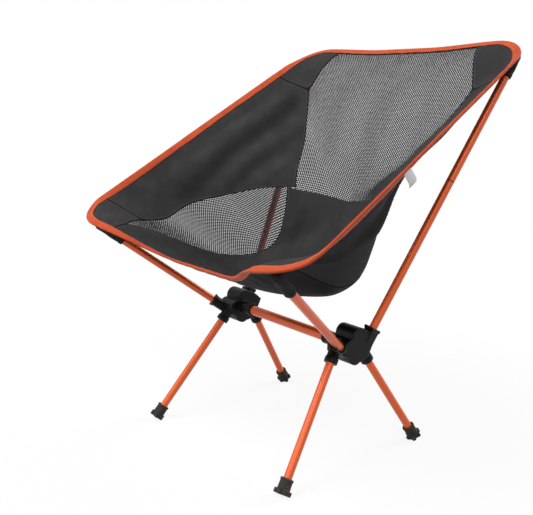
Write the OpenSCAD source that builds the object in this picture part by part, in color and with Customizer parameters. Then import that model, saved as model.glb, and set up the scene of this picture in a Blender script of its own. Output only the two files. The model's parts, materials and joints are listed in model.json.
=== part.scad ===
// Low folding camp chair with a corded tube frame: two moulded hubs on a crossbar carry four legs
// and four poles, and a bucket sling with mesh panels hangs from pockets on the four pole tips.
// Left and right are the sitter's. Up is +Z, the sitter faces -Y, and the floor is z = 0.

/* [Tubes] */
// Outside diameter of the leg and pole tubes
tube_d = 13; // [11:0.5:14]
// Wall of the leg, pole and crossbar tubes
tube_wall = 1.2; // [0.9:0.1:1.6]
// Outside diameter of the crossbar
bar_d = 17; // [15:0.5:18.5]
// Length of the crossbar
bar_len = 248; // [236:1:260]
// Height of the crossbar axis over the floor
bar_z = 191; // [181:1:201]
// Fore and aft place of the crossbar axis
bar_y = -15.5; // [-30:0.5:0]
// Diameter of the elastic cord inside the tubes
cord_d = 2.6; // [2:0.1:3.2]
// Radial play of a tube in its socket
fit_play = 0.05; // [0.03:0.01:0.09]
// Gap left where a moving piece meets its stop
stop_gap = 0.3; // [0.2:0.05:0.5]

/* [Legs] */
// Front foot, distance out from the middle
foot_front_x = 175; // [165:1:190]
// Front foot, distance ahead of the crossbar
foot_front_y = 163; // [150:1:175]
// Rear foot, distance out from the middle
foot_rear_x = 170; // [160:1:185]
// Rear foot, distance behind the crossbar
foot_rear_y = 141; // [130:1:155]
// Length of a rubber foot along its leg
foot_len = 24; // [20:1:30]
// Diameter of the rubber sleeve
foot_d = 20; // [18:0.5:23]
// Diameter over the lobes of the tread
tread_d = 27; // [25:0.5:30]
// Height of the lobed tread
tread_h = 7; // [5:0.5:9]
// Number of lobes round the tread
tread_lobes = 6; // [5:1:8]

/* [Poles] */
// Front pole tip, distance out from the middle
tip_front_x = 237; // [231:1:243]
// Front pole tip, distance ahead of the crossbar
tip_front_y = 226; // [220:1:231]
// Height of the front pole tip
tip_front_z = 355; // [348:1:358]
// Rear pole tip, distance out from the middle
tip_rear_x = 232; // [226:1:238]
// Rear pole tip, distance behind the crossbar
tip_rear_y = 270; // [264:1:276]
// Height of the rear pole tip
tip_rear_z = 632; // [620:1:636]
// Share of the rear pole below its joint
joint_share = 0.56; // [0.5:0.01:0.62]
// Length of the ferrule in the rear pole joint
ferrule_len = 60; // [50:1:80]
// Length of tube that the front pockets cover
pocket_front_len = 54; // [45:1:70]
// Length of tube that the rear pockets cover
pocket_rear_len = 40; // [30:1:60]

/* [Hubs] */
// Outside diameter of the round sockets
socket_d = 19; // [17.5:0.5:20]
// Diameter of the collars at the leg sockets and on the crossbar
collar_d = 21.5; // [20.5:0.5:23]
// Length of the collars
collar_len = 9; // [7:0.5:11]
// Radius of the rounded core
core_r = 14.5; // [13:0.5:16]
// Height of the core
core_h = 59; // [54:1:64]
// Thickness of the core across the chair
core_w = 39; // [36:1:42]
// How far the top of the hub leans to the rear
core_lean = 6; // [4:0.5:8]
// Length of the barrel round the crossbar end
barrel_len = 24; // [20:1:27]
// Depth of the front leg sockets
leg_front_in = 19; // [16:0.5:21]
// Depth of the rear leg sockets
leg_rear_in = 30; // [24:0.5:32]
// Depth of the front pole sockets
pole_front_in = 25; // [20:0.5:27]
// Depth of the rear pole sockets
pole_rear_in = 45; // [36:0.5:48]
// Width of the squared rear pole sockets
square_w = 18; // [17:0.5:20]

/* [Sling] */
// Thickness of the cloth and mesh
cloth_t = 2.2; // [1.8:0.1:2.4]
// Reach of the sling's sides beyond the front pole tips
side_front = 55; // [47:1:61]
// Reach of the sling's sides beyond the rear pole tips
side_rear = 28; // [22:1:34]
// Middle of the front edge, distance behind the front pole tips
front_mid_back = 48; // [40:1:56]
// Middle of the front edge, drop below the front pole tips
front_mid_drop = 43; // [35:1:49]
// Front corners, reach ahead of the front pole tips
front_edge_reach = 19; // [15:1:22]
// Front corners, rise over the front pole tips
front_edge_rise = 4; // [2:1:10]
// Middle of the top edge, reach behind the rear pole tips
top_mid_reach = 6; // [2:1:14]
// Middle of the top edge, rise over the rear pole tips
top_mid_rise = 14; // [8:1:22]
// Top corners, reach behind the rear pole tips
top_edge_reach = 5; // [3:1:10]
// Top corners, rise over the rear pole tips
top_edge_rise = 20; // [16:1:28]
// Depth of the bucket below the line from front edge to top edge
bucket = 171; // [155:1:185]
// Width of cloth that the folded tape grips
tape_w = 4; // [3:0.5:5]
// Thickness of the tape
tape_t = 1.2; // [0.9:0.1:1.6]
// Width of the gap at a seam
seam = 0.5; // [0.4:0.1:0.7]
// Width of the care label
label_w = 16; // [12:1:20]
// Drop of the care label
label_h = 24; // [18:1:30]

/* [Hidden] */
$fn = 48;

black = [0.10, 0.10, 0.105];
orange = [0.80, 0.34, 0.14];
tape_tone = [0.89, 0.38, 0.19];
cloth = [0.17, 0.17, 0.18];
net = [0.42, 0.42, 0.43];
rubber = [0.22, 0.20, 0.19];
elastic = [0.08, 0.08, 0.09];
white = [0.93, 0.93, 0.92];

tube_r = tube_d / 2;
bore_r = tube_r + fit_play;
core_r_in = tube_r - tube_wall;
plug_r = core_r_in - fit_play;
half_bar = bar_len / 2;

// Where each axis crosses the height of the crossbar, and where it ends outside the hub.
leg_x = half_bar + 13.5;
pole_x = half_bar + 30;
leg_f = [leg_x, bar_y - 18, bar_z];
leg_r = [leg_x - 1.5, bar_y + 23, bar_z];
pole_f = [pole_x, bar_y - 25, bar_z];
pole_r = [pole_x, bar_y + 29, bar_z];
foot_f = [foot_front_x, bar_y - foot_front_y, 0];
foot_r = [foot_rear_x, bar_y + foot_rear_y, 0];
end_f = [tip_front_x, bar_y - tip_front_y, tip_front_z];
end_r = [tip_rear_x, bar_y + tip_rear_y, tip_rear_z];

function unit(a) = a / norm(a);
dir_lf = unit(foot_f - leg_f);
dir_lr = unit(foot_r - leg_r);
dir_pf = unit(end_f - pole_f);
dir_pr = unit(end_r - pole_r);
len_lf = norm(foot_f - leg_f);
len_lr = norm(foot_r - leg_r);
len_pf = norm(end_f - pole_f);
len_pr = norm(end_r - pole_r);

// Places of the socket mouths along the axes.
mouth_lf = 30;
mouth_lr = 45;
mouth_pf = 22;
mouth_pr = 25;
joint_at = len_pr * joint_share;

module along(p, d, s = 0) {
  translate(p) rotate([0, acos(d[2]), atan2(d[1], d[0])]) translate([0, 0, s]) children();
}
module pair(right) {
  if (right) mirror([1, 0, 0]) children();
  else children();
}
module pipe(h, d) {
  difference() {
    cylinder(d = d, h = h);
    translate([0, 0, -1]) cylinder(d = d - 2 * tube_wall, h = h + 2);
  }
}

// Crossbar and its collars
module crossbar() {
  color(orange) translate([-half_bar, bar_y, bar_z]) rotate([0, 90, 0]) pipe(bar_len, bar_d);
}
module collar(right) {
  color(black) pair(right) translate([half_bar - barrel_len - 6, bar_y, bar_z]) rotate([0, 90, 0])
    difference() {
      cylinder(d = collar_d + 1.5, h = 6);
      translate([0, 0, -1]) cylinder(r = bar_d / 2 + fit_play, h = 8);
    }
}
module crossbar_collar_left() { collar(false); }
module crossbar_collar_right() { collar(true); }

// Moulded hub with one crossbar socket, two leg sockets and two pole sockets
module core() {
  translate([half_bar, bar_y, bar_z]) rotate([90, 0, 90]) linear_extrude(core_w) union() {
    translate([core_lean, core_h / 2 - core_r]) circle(r = core_r);
    translate([0, core_r - core_h / 2]) circle(r = core_r);
    polygon([[core_lean - core_r, core_h / 2 - core_r], [core_lean + core_r, core_h / 2 - core_r],
      [core_r, core_r - core_h / 2], [-core_r, core_r - core_h / 2]]);
    polygon([[0, 13], [-core_r, 13], [-26, 7], [-26, -10], [-core_r, -16], [0, -16]]);
    polygon([[core_lean, core_h / 2 - 1], [core_lean + 8, core_h / 2 - 2], [30, 19], [42, 8], [26, -24],
      [10, 2 - core_h / 2]]);
  }
}
module leg_socket(p, d, mouth, deep) {
  along(p, d, mouth - deep - 14) cylinder(d = socket_d, h = deep + 14);
  along(p, d, mouth - collar_len) cylinder(d = collar_d, h = collar_len);
}
module leg_bore(p, d, mouth, deep) {
  along(p, d, mouth - deep) cylinder(r = bore_r, h = deep + 5);
  along(p, d, mouth - deep - 8) cylinder(d = cord_d + 1.4, h = 9);
}
module hub(right) {
  color(black) pair(right) difference() {
    union() {
      core();
      translate([half_bar - barrel_len, bar_y, bar_z]) rotate([0, 90, 0])
        cylinder(d = collar_d, h = barrel_len + 1);
      leg_socket(leg_f, dir_lf, mouth_lf, leg_front_in);
      leg_socket(leg_r, dir_lr, mouth_lr, leg_rear_in);
      along(pole_f, dir_pf, mouth_pf - pole_front_in - 12)
        cylinder(d = socket_d + 0.5, h = pole_front_in + 12);
      along(pole_f, dir_pf, mouth_pf - 8) cylinder(d1 = socket_d, d2 = socket_d + 4.5, h = 8);
      along(pole_r, dir_pr, (mouth_pr - pole_rear_in - 8)) rotate([0, 0, 18])
        translate([-square_w / 2, -square_w / 2, 0]) cube([square_w, square_w, pole_rear_in + 8]);
      along(pole_r, dir_pr, mouth_pr - 5) rotate([0, 0, 18])
        translate([-square_w / 2 - 1, -square_w / 2 - 1, 0])
          cube([square_w + 2, square_w + 2, 5]);
    }
    translate([half_bar - barrel_len - 1, bar_y, bar_z]) rotate([0, 90, 0])
      cylinder(r = bar_d / 2 + fit_play, h = barrel_len + 1);
    leg_bore(leg_f, dir_lf, mouth_lf, leg_front_in);
    leg_bore(leg_r, dir_lr, mouth_lr, leg_rear_in);
    leg_bore(pole_f, dir_pf, mouth_pf, pole_front_in);
    leg_bore(pole_r, dir_pr, mouth_pr, pole_rear_in);
    along(pole_f, dir_pf, mouth_pf - 16) translate([-20, 3.2, 0]) cube([40, 20, 30]);
  }
}
module hub_left() { hub(false); }
module hub_right() { hub(true); }

// Leg tubes with rubber feet and elastic cord
function tube_end(len) = len - 13;
module leg(right, p, d, start, len) {
  color(orange) pair(right) along(p, d, start + stop_gap)
    pipe(tube_end(len) - start - stop_gap, tube_d);
}
module foot(right, p, d, len) {
  color(rubber) pair(right) difference() {
    union() {
      difference() {
        union() {
          along(p, d, len - 5 - foot_len) cylinder(d = foot_d, h = foot_len);
          along(p, d, len - 5 - tread_h) {
            cylinder(d = tread_d - 4, h = tread_h);
            for (k = [0 : tread_lobes - 1]) rotate([0, 0, k * 360 / tread_lobes])
              translate([tread_d / 2 - 3.6, 0, 0]) cylinder(r = 3.6, h = tread_h);
          }
        }
        along(p, d, len - 6 - foot_len) cylinder(r = bore_r, h = foot_len + 6 - 13);
      }
      along(p, d, tube_end(len) - 9) cylinder(r = plug_r, h = 10);
    }
    translate([-400, -400, -60]) cube([800, 800, 60]);
  }
}
module leg_cord(right, p, d, start, stop) {
  color(elastic) pair(right) along(p, d, start - 6) cylinder(d = cord_d, h = stop - start + 6);
}
in_lf = mouth_lf - leg_front_in;
in_lr = mouth_lr - leg_rear_in;
in_pf = mouth_pf - pole_front_in;
in_pr = mouth_pr - pole_rear_in;
module leg_front_left() { leg(false, leg_f, dir_lf, in_lf, len_lf); }
module leg_front_right() { leg(true, leg_f, dir_lf, in_lf, len_lf); }
module leg_rear_left() { leg(false, leg_r, dir_lr, in_lr, len_lr); }
module leg_rear_right() { leg(true, leg_r, dir_lr, in_lr, len_lr); }
module foot_front_left() { foot(false, leg_f, dir_lf, len_lf); }
module foot_front_right() { foot(true, leg_f, dir_lf, len_lf); }
module foot_rear_left() { foot(false, leg_r, dir_lr, len_lr); }
module foot_rear_right() { foot(true, leg_r, dir_lr, len_lr); }
module cord_leg_front_left() { leg_cord(false, leg_f, dir_lf, in_lf, tube_end(len_lf) - 9); }
module cord_leg_front_right() { leg_cord(true, leg_f, dir_lf, in_lf, tube_end(len_lf) - 9); }
module cord_leg_rear_left() { leg_cord(false, leg_r, dir_lr, in_lr, tube_end(len_lr) - 9); }
module cord_leg_rear_right() { leg_cord(true, leg_r, dir_lr, in_lr, tube_end(len_lr) - 9); }

// Poles, their tips, the rear ferrules and the cord
module pole_tip(right, p, d, len) {
  color(black) pair(right) along(p, d, len - tube_r) {
    difference() {
      sphere(r = tube_r);
      translate([-20, -20, -40]) cube([40, 40, 40]);
    }
    translate([0, 0, -10]) cylinder(r = plug_r, h = 10.5);
  }
}
module front_pole(right) {
  color(orange) pair(right) along(pole_f, dir_pf, in_pf + stop_gap)
    pipe(len_pf - tube_r - in_pf - stop_gap, tube_d);
}
module lower_pole(right) {
  color(orange) pair(right) along(pole_r, dir_pr, in_pr + stop_gap)
    pipe(joint_at - in_pr - stop_gap, tube_d);
}
module upper_pole(right) {
  color(orange) pair(right) along(pole_r, dir_pr, joint_at + stop_gap)
    pipe(len_pr - tube_r - joint_at - stop_gap, tube_d);
}
module ferrule(right) {
  color(black) pair(right) along(pole_r, dir_pr, joint_at - ferrule_len / 2) difference() {
    cylinder(r = plug_r, h = ferrule_len);
    translate([0, 0, 3]) cylinder(r = plug_r - 1.6, h = ferrule_len);
  }
}
module lower_cord(right) {
  color(elastic) pair(right) along(pole_r, dir_pr, in_pr - 6)
    cylinder(d = cord_d, h = joint_at - ferrule_len / 2 - in_pr + 6);
}
module upper_cord(right) {
  color(elastic) pair(right) along(pole_r, dir_pr, joint_at + ferrule_len / 2 - 12)
    cylinder(d = cord_d, h = len_pr - tube_r - 10 - joint_at - ferrule_len / 2 + 12);
}
module front_cord(right) {
  color(elastic) pair(right) along(pole_f, dir_pf, in_pf - 6)
    cylinder(d = cord_d, h = len_pf - tube_r - 10 - in_pf + 6);
}
module pole_front_left() { front_pole(false); }
module pole_front_right() { front_pole(true); }
module tip_front_left() { pole_tip(false, pole_f, dir_pf, len_pf); }
module tip_front_right() { pole_tip(true, pole_f, dir_pf, len_pf); }
module cord_front_left() { front_cord(false); }
module cord_front_right() { front_cord(true); }
module pole_lower_left() { lower_pole(false); }
module pole_lower_right() { lower_pole(true); }
module ferrule_left() { ferrule(false); }
module ferrule_right() { ferrule(true); }
module cord_lower_left() { lower_cord(false); }
module cord_lower_right() { lower_cord(true); }
module pole_upper_left() { upper_pole(false); }
module pole_upper_right() { upper_pole(true); }
module tip_rear_left() { pole_tip(false, pole_r, dir_pr, len_pr); }
module tip_rear_right() { pole_tip(true, pole_r, dir_pr, len_pr); }
module cord_upper_left() { upper_cord(false); }
module cord_upper_right() { upper_cord(true); }

// Shape of the sling: u runs across from -1 to 1, v runs from the front edge (0) to the top edge (1)
function clamp01(t) = max(0, min(1, t));
function ease(t) = pow(clamp01(t), 2) * (3 - 2 * clamp01(t));
function round_off(t) = 1 - sqrt(max(0, 1 - pow(clamp01(t), 2)));
// Corners and middles of the sling's edges, set out from the pole tips.
wide_front = tip_front_x + side_front;
wide_rear = tip_rear_x + side_rear;
front_mid_y = tip_front_y - front_mid_back;
front_mid_z = tip_front_z - front_mid_drop;
front_edge_y = tip_front_y + front_edge_reach;
front_edge_z = tip_front_z + front_edge_rise;
top_mid_y = tip_rear_y + top_mid_reach;
top_mid_z = tip_rear_z + top_mid_rise;
top_edge_y = tip_rear_y + top_edge_reach;
top_edge_z = tip_rear_z + top_edge_rise;
function half_w(v) = wide_front + (wide_rear - wide_front) * v;
function trim(v) = 1 - 0.3 * round_off(1 - v / 0.105) - 0.27 * round_off(1 - (1 - v) / 0.115);
chord_y = top_mid_y + front_mid_y;
chord_z = top_mid_z - front_mid_z;
chord = norm([chord_y, chord_z]);
sag_a = 1;
sag_b = 2.07;
sag_at = sag_a / (sag_a + sag_b);
function sag(v) = bucket * pow(v / sag_at, sag_a) * pow((1 - v) / (1 - sag_at), sag_b);
function mid_line(v) = [-front_mid_y + chord_y * v + chord_z / chord * sag(v),
  front_mid_z + chord_z * v - chord_y / chord * sag(v)];
function edge_line(v) = [-front_edge_y + (top_edge_y + front_edge_y) * v,
  front_edge_z + (top_edge_z - front_edge_z) * v];
// The cloth lies flat as far as its bend on each side and then climbs to the edge; the bends draw
// together where seat and back meet, and spread towards the top.
function bend(v) = 0.43 - 0.375 * exp(-pow((v - 0.5) / 0.11, 2)) + 0.5 * ease((v - 0.6) / 0.35);
function bend_soft(v) = 0.085 + 0.4 * max(0, 0.43 - bend(v));
function ramp(s, v) = norm([s - bend(v), bend_soft(v)]) + s - bend(v);
function across(s, v) = let (k = ease(v / 0.2) * ease((1 - v) / 0.15))
  (1 - k) * ease((s - 0.2) / 0.6) + k * (ramp(s, v) - ramp(0, v)) / (ramp(1, v) - ramp(0, v));
function base(a, v) = let (m = mid_line(v), e = edge_line(v), k = across(abs(a), v))
  [a * half_w(v), bar_y + m[0] + (e[0] - m[0]) * k, m[1] + (e[1] - m[1]) * k];
function base_up(a, v) = unit(cross(base(a + 0.004, v) - base(a - 0.004, v),
  base(a, min(1, v + 0.002)) - base(a, max(0, v - 0.002))));
function skin(u, v) = base(u * trim(v), v);
function skin_up(u, v) = base_up(u * trim(v), v);

// Rows of the sling pattern; the pieces share them so that their seams follow one line
v_corner = 0.11;
v_window = 0.485;
v_back = 0.494;
v_patch = 0.84;
rows = concat([for (k = [0 : 8]) v_corner * pow(k / 8, 2)],
  [for (k = [1 : 10]) v_corner + (v_window - v_corner) * k / 10], [v_back],
  [for (k = [1 : 8]) v_back + (v_patch - v_back) * k / 8],
  [for (k = [1 : 8]) 1 - (1 - v_patch) * pow((8 - k) / 8, 2)]);
row_tip = 6;
row_corner = 8;
row_window = 18;
row_back = 19;
row_patch = 27;
row_top = 35;
// Shares of the untrimmed half width where the corner patches meet the front and top edges
front_share = 0.63;
top_share = 0.6;
u_front = front_share / trim(0);
u_top = top_share / trim(1);
function front_line(v) = (front_share + (0.667 - front_share) * v / 0.06) / trim(v);
function u_inner(v) = v < 0.06 ? front_line(v) : v > v_window + 0.005 ? u_seam(v)
  : 0.367 + (v < 0.43 ? 1.405 * pow(0.43 - v, 1.5) : 7.6 * pow(v - 0.43, 2));
function u_outer(v) = v < 0.06 ? front_line(v) : v > v_window + 0.005 ? u_seam(v)
  : 0.782 - (v < 0.25 ? 2.6 : 7) * pow(v - 0.25, 2);
function u_side(v) = let (t = (v - 0.5) / 0.33) 0.344 + 0.321 * t + 0.043 * t * t;
function u_seam(v) = v < v_patch ? u_side(v)
  : (top_share + (u_side(v_patch) - top_share) * (1 - v) / (1 - v_patch)) / trim(v);
// The seam across the seat bows up in the middle, and the rows near it follow
function bow(v) = 0.038 * ease((v - 0.2) / (v_back - 0.2)) * ease((v_patch - v) / (v_patch - v_back));
function u_line(kind, v) = kind == "inner" ? u_inner(v) : kind == "outer" ? u_outer(v)
  : kind == "edge" ? 1 : -u_inner(v);

// One cloth piece between two lines of the pattern and two of its rows
module sheet(from, to, left, right, cols, end0 = 0, end1 = 0) {
  n = cols + 1;
  m = to - from + 1;
  place = [for (j = [0 : m - 1], i = [0 : cols])
    let (v0 = rows[from + j],
      v = v0 + (j == 0 ? end0 : 0) - (j == m - 1 ? end1 : 0),
      g = seam / 2 / half_w(v0),
      a = u_line(left, v0) + g,
      b = u_line(right, v0) - (right == "edge" ? 0 : g))
    let (u = a + (b - a) * i / cols)
    [u, v + (left == "minus" ? bow(v) * max(0, 1 - pow(u / u_side(v_back), 2)) : 0)]];
  top = [for (q = place) skin(q[0], q[1]) + skin_up(q[0], q[1]) * cloth_t / 2];
  low = [for (q = place) skin(q[0], q[1]) - skin_up(q[0], q[1]) * cloth_t / 2];
  o = n * m;
  function turned(i) = left == "minus" && i < cols / 2 ? 1 : 0;
  faces = concat(
    [for (j = [0 : m - 2], i = [0 : cols - 1]) let (k = j * n + i, q = turned(i)) [k + q, k + n, k + n + 1]],
    [for (j = [0 : m - 2], i = [0 : cols - 1]) let (k = j * n + i, q = turned(i)) [k, k + n + 1 - q, k + 1]],
    [for (j = [0 : m - 2], i = [0 : cols - 1]) let (k = o + j * n + i, q = turned(i))
      [k + q, k + n + 1, k + n]],
    [for (j = [0 : m - 2], i = [0 : cols - 1]) let (k = o + j * n + i, q = turned(i))
      [k, k + 1, k + n + 1 - q]],
    [for (i = [0 : cols - 1]) [i, i + 1, o + i + 1]], [for (i = [0 : cols - 1]) [i, o + i + 1, o + i]],
    [for (i = [0 : cols - 1]) let (k = o - n + i) [k, o + k + 1, k + 1]],
    [for (i = [0 : cols - 1]) let (k = o - n + i) [k, o + k, o + k + 1]],
    [for (j = [0 : m - 2]) let (k = j * n) [k, o + k, o + k + n]],
    [for (j = [0 : m - 2]) let (k = j * n) [k, o + k + n, k + n]],
    [for (j = [0 : m - 2]) let (k = j * n + cols) [k, o + k + n, o + k]],
    [for (j = [0 : m - 2]) let (k = j * n + cols) [k, k + n, o + k + n]]);
  polyhedron(points = concat(top, low), faces = faces, convexity = 4);
}
seam_v = seam / 1000;
module seat_panel() { color(cloth) sheet(0, row_back, "minus", "inner", 16, 0, seam_v); }
module back_mesh() { color(net) sheet(row_back, row_top, "minus", "inner", 12, seam_v, 0); }
module side_panel(right) {
  color(cloth) pair(right) sheet(row_corner, row_patch, "outer", "edge", 5, seam_v, seam_v);
}
module window(right) { color(net) pair(right) sheet(row_tip, row_window, "inner", "outer", 4); }
module front_patch(right) {
  color(cloth) pair(right) sheet(0, row_corner, "outer", "edge", 6, 0, seam_v);
}
module rear_patch(right) {
  color(cloth) pair(right) sheet(row_patch, row_top, "outer", "edge", 6, seam_v, 0);
}
module side_panel_left() { side_panel(false); }
module side_panel_right() { side_panel(true); }
module window_left() { window(false); }
module window_right() { window(true); }
module patch_front_left() { front_patch(false); }
module patch_front_right() { front_patch(true); }
module patch_rear_left() { rear_patch(false); }
module patch_rear_right() { rear_patch(true); }

// Pockets sewn under the corners, closed over the pole tips
module pocket(right, p, d, len, cover, u, v) {
  color(cloth) pair(right) difference() {
    hull() {
      along(p, d, len - cover) cylinder(r = bore_r + 1.8, h = cover + 1.5, $fn = 32);
      translate(skin(u, v) - skin_up(u, v) * (cloth_t / 2 + 2.4)) sphere(r = 2, $fn = 16);
    }
    along(p, d, len - cover - 40) cylinder(r = bore_r + 0.1, h = cover + 40 - tube_r, $fn = 32);
    along(p, d, len - tube_r) sphere(r = tube_r + 0.3, $fn = 32);
  }
}
module pocket_front_left() { pocket(false, pole_f, dir_pf, len_pf, pocket_front_len, 0.82, 0.05); }
module pocket_front_right() { pocket(true, pole_f, dir_pf, len_pf, pocket_front_len, 0.82, 0.05); }
module pocket_rear_left() { pocket(false, pole_r, dir_pr, len_pr, pocket_rear_len, 0.93, 0.95); }
module pocket_rear_right() { pocket(true, pole_r, dir_pr, len_pr, pocket_rear_len, 0.93, 0.95); }

// Tape folded over the edge; each run of pattern points carries one point more at both ends, and
// the lips of its first end may be cut back along the edge
module tape(run, cut = 0) {
  n = len(run) - 2;
  h = cloth_t / 2 + 0.45;
  section = [[tape_t + 0.5, -h - tape_t], [tape_t + 0.5, h + tape_t], [-tape_w, h + tape_t], [-tape_w, h],
    [0.5, h], [0.5, -h], [-tape_w, -h], [-tape_w, -h - tape_t]];
  pts = [for (k = [1 : n])
    let (c = skin(run[k][0], run[k][1]), up = skin_up(run[k][0], run[k][1]),
      t = unit(skin(run[k + 1][0], run[k + 1][1]) - skin(run[k - 1][0], run[k - 1][1])),
      out = unit(cross(t, up)))
    for (s = section) c + out * s[0] + up * s[1] + (k == 1 && s[0] < 0 ? t * cut : [0, 0, 0])];
  e = (n - 1) * 8;
  ends = [[1, 2, 3], [1, 3, 4], [0, 1, 4], [0, 4, 5], [0, 5, 6], [0, 6, 7]];
  faces = concat(
    [for (k = [0 : n - 2], s = [0 : 7]) let (a = k * 8 + s, b = k * 8 + (s + 1) % 8) [a, b, b + 8]],
    [for (k = [0 : n - 2], s = [0 : 7]) let (a = k * 8 + s, b = k * 8 + (s + 1) % 8) [a, b + 8, a + 8]],
    [for (f = ends) [f[0], f[2], f[1]]], [for (f = ends) [e + f[0], e + f[1], e + f[2]]]);
  polyhedron(points = pts, faces = faces, convexity = 6);
}
gap_u = seam / 2 / 190;
module tape_front() {
  color(tape_tone) tape([for (k = [-1 : 17]) [(u_front - gap_u) * (k / 8 - 1), 0]]);
}
module tape_top() {
  color(tape_tone) tape([for (k = [-1 : 13]) [(u_top - gap_u) * (1 - k / 6), 1]]);
}
module side_tape(right) {
  a = rows[row_corner] + seam_v;
  b = rows[row_patch] - seam_v;
  color(tape_tone) pair(right) tape([for (k = [-1 : 13]) [1, a + (b - a) * k / 12]]);
}
module front_corner_tape(right) {
  a = u_front + gap_u;
  color(tape_tone) pair(right) tape(concat([for (k = [-1 : 2]) [a + (1 - a) * k / 3, 0]],
    [for (k = [0 : 8]) [1, (rows[row_corner] - seam_v) * pow(k / 8, 2)]],
    [[1, rows[row_corner] + 0.02]]), 3);
}
module rear_corner_tape(right) {
  a = u_top + gap_u;
  c = 1 - rows[row_patch] - seam_v;
  color(tape_tone) pair(right) tape(concat([[1, rows[row_patch] - 0.02]],
    [for (k = [0 : 8]) [1, 1 - c * pow(1 - k / 8, 2)]], [for (k = [1 : 4]) [1 - (1 - a) * k / 3, 1]]));
}
module tape_side_left() { side_tape(false); }
module tape_side_right() { side_tape(true); }
module tape_corner_front_left() { front_corner_tape(false); }
module tape_corner_front_right() { front_corner_tape(true); }
module tape_corner_rear_left() { rear_corner_tape(false); }
module tape_corner_rear_right() { rear_corner_tape(true); }

// Care label hanging under the left side edge
module care_label() {
  v = 0.405;
  tilt = atan2(top_edge_z - front_edge_z, top_edge_y + front_edge_y);
  drop = cloth_t / 2 + tape_t + 3.2;
  color(white) translate(skin(1, v) - [0, 0, drop]) rotate([tilt, 0, 0])
    translate([0, -label_w / 2, -label_h]) cube([1.2, label_w, label_h]);
}

crossbar();
crossbar_collar_left();
crossbar_collar_right();
hub_left();
hub_right();
leg_front_left();
leg_front_right();
leg_rear_left();
leg_rear_right();
foot_front_left();
foot_front_right();
foot_rear_left();
foot_rear_right();
cord_leg_front_left();
cord_leg_front_right();
cord_leg_rear_left();
cord_leg_rear_right();
pole_front_left();
pole_front_right();
tip_front_left();
tip_front_right();
cord_front_left();
cord_front_right();
pole_lower_left();
pole_lower_right();
ferrule_left();
ferrule_right();
cord_lower_left();
cord_lower_right();
pole_upper_left();
pole_upper_right();
tip_rear_left();
tip_rear_right();
cord_upper_left();
cord_upper_right();
seat_panel();
back_mesh();
side_panel_left();
side_panel_right();
window_left();
window_right();
patch_front_left();
patch_front_right();
patch_rear_left();
patch_rear_right();
pocket_front_left();
pocket_front_right();
pocket_rear_left();
pocket_rear_right();
tape_front();
tape_top();
tape_side_left();
tape_side_right();
tape_corner_front_left();
tape_corner_front_right();
tape_corner_rear_left();
tape_corner_rear_right();
care_label();
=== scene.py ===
"""Dresses the low folding camp chair: anodised tubes, moulded hubs, rubber feet and a taped bucket sling.

Sizes are in millimetres until a mesh is made. The sitter faces -Y, +X is the sitter's left, up is +Z.
"""

import json
import logging
import math
from collections.abc import Callable, Iterator
from contextlib import contextmanager
from dataclasses import dataclass
from enum import Enum

import bpy
import numpy as np
from mathutils import Matrix, Vector

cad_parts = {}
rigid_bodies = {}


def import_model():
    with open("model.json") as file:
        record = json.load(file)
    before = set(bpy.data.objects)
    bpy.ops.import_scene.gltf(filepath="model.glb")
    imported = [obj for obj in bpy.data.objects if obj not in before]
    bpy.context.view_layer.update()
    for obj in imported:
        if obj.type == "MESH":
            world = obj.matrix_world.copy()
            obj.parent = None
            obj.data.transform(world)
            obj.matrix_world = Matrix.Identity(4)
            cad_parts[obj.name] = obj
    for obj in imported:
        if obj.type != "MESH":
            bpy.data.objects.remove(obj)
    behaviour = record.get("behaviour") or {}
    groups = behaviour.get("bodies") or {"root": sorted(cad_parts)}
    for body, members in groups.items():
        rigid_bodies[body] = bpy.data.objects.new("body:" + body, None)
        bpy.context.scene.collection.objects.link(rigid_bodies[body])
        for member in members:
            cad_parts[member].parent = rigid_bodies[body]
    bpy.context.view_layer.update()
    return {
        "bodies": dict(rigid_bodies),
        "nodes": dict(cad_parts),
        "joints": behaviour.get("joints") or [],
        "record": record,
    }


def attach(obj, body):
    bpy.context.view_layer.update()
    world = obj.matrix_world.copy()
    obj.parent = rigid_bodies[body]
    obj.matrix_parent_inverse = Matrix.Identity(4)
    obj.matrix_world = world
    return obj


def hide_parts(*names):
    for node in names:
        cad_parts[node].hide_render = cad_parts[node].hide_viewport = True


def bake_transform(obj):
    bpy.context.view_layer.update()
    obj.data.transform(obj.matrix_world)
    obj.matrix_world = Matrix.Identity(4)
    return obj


LOG = logging.getLogger("camp_chair")
MM = 0.001
PER_METRE = 1000.0
WHITE = (1.0, 1.0, 1.0, 1.0)
Pair = tuple[float, float]
Trio = tuple[float, float, float]
Colour = Place = Trio
Array = np.ndarray
Piece = bpy.types.Object
Material = bpy.types.Material
Edge = Callable[[Array], Array]
Pattern = Callable[[Array, Array], Array]
Cut = tuple[Piece, Array, Array, float]


class Side(Enum):
    """The half of the chair that a piece belongs to, as the sitter has it."""

    LEFT = 1
    RIGHT = -1

    @property
    def word(self) -> str:
        """The side's word in the names of nodes and bodies."""
        return self.name.lower()


class Tube(Enum):
    """The tubes that leave a hub."""

    LEG_FRONT = "leg_front"
    LEG_REAR = "leg_rear"
    POLE_FRONT = "pole_front"
    POLE_REAR = "pole_rear"

    @property
    def end(self) -> str:
        """The end of the chair that it leans to, as nodes and bodies name it."""
        return self.value.split("_")[1]


class Corner(Enum):
    """The stretch zones of one half of the sling; the tip lies between the two rear pole sections."""

    FRONT = "front"
    REAR = "rear"
    TIP = "tip"


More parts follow.
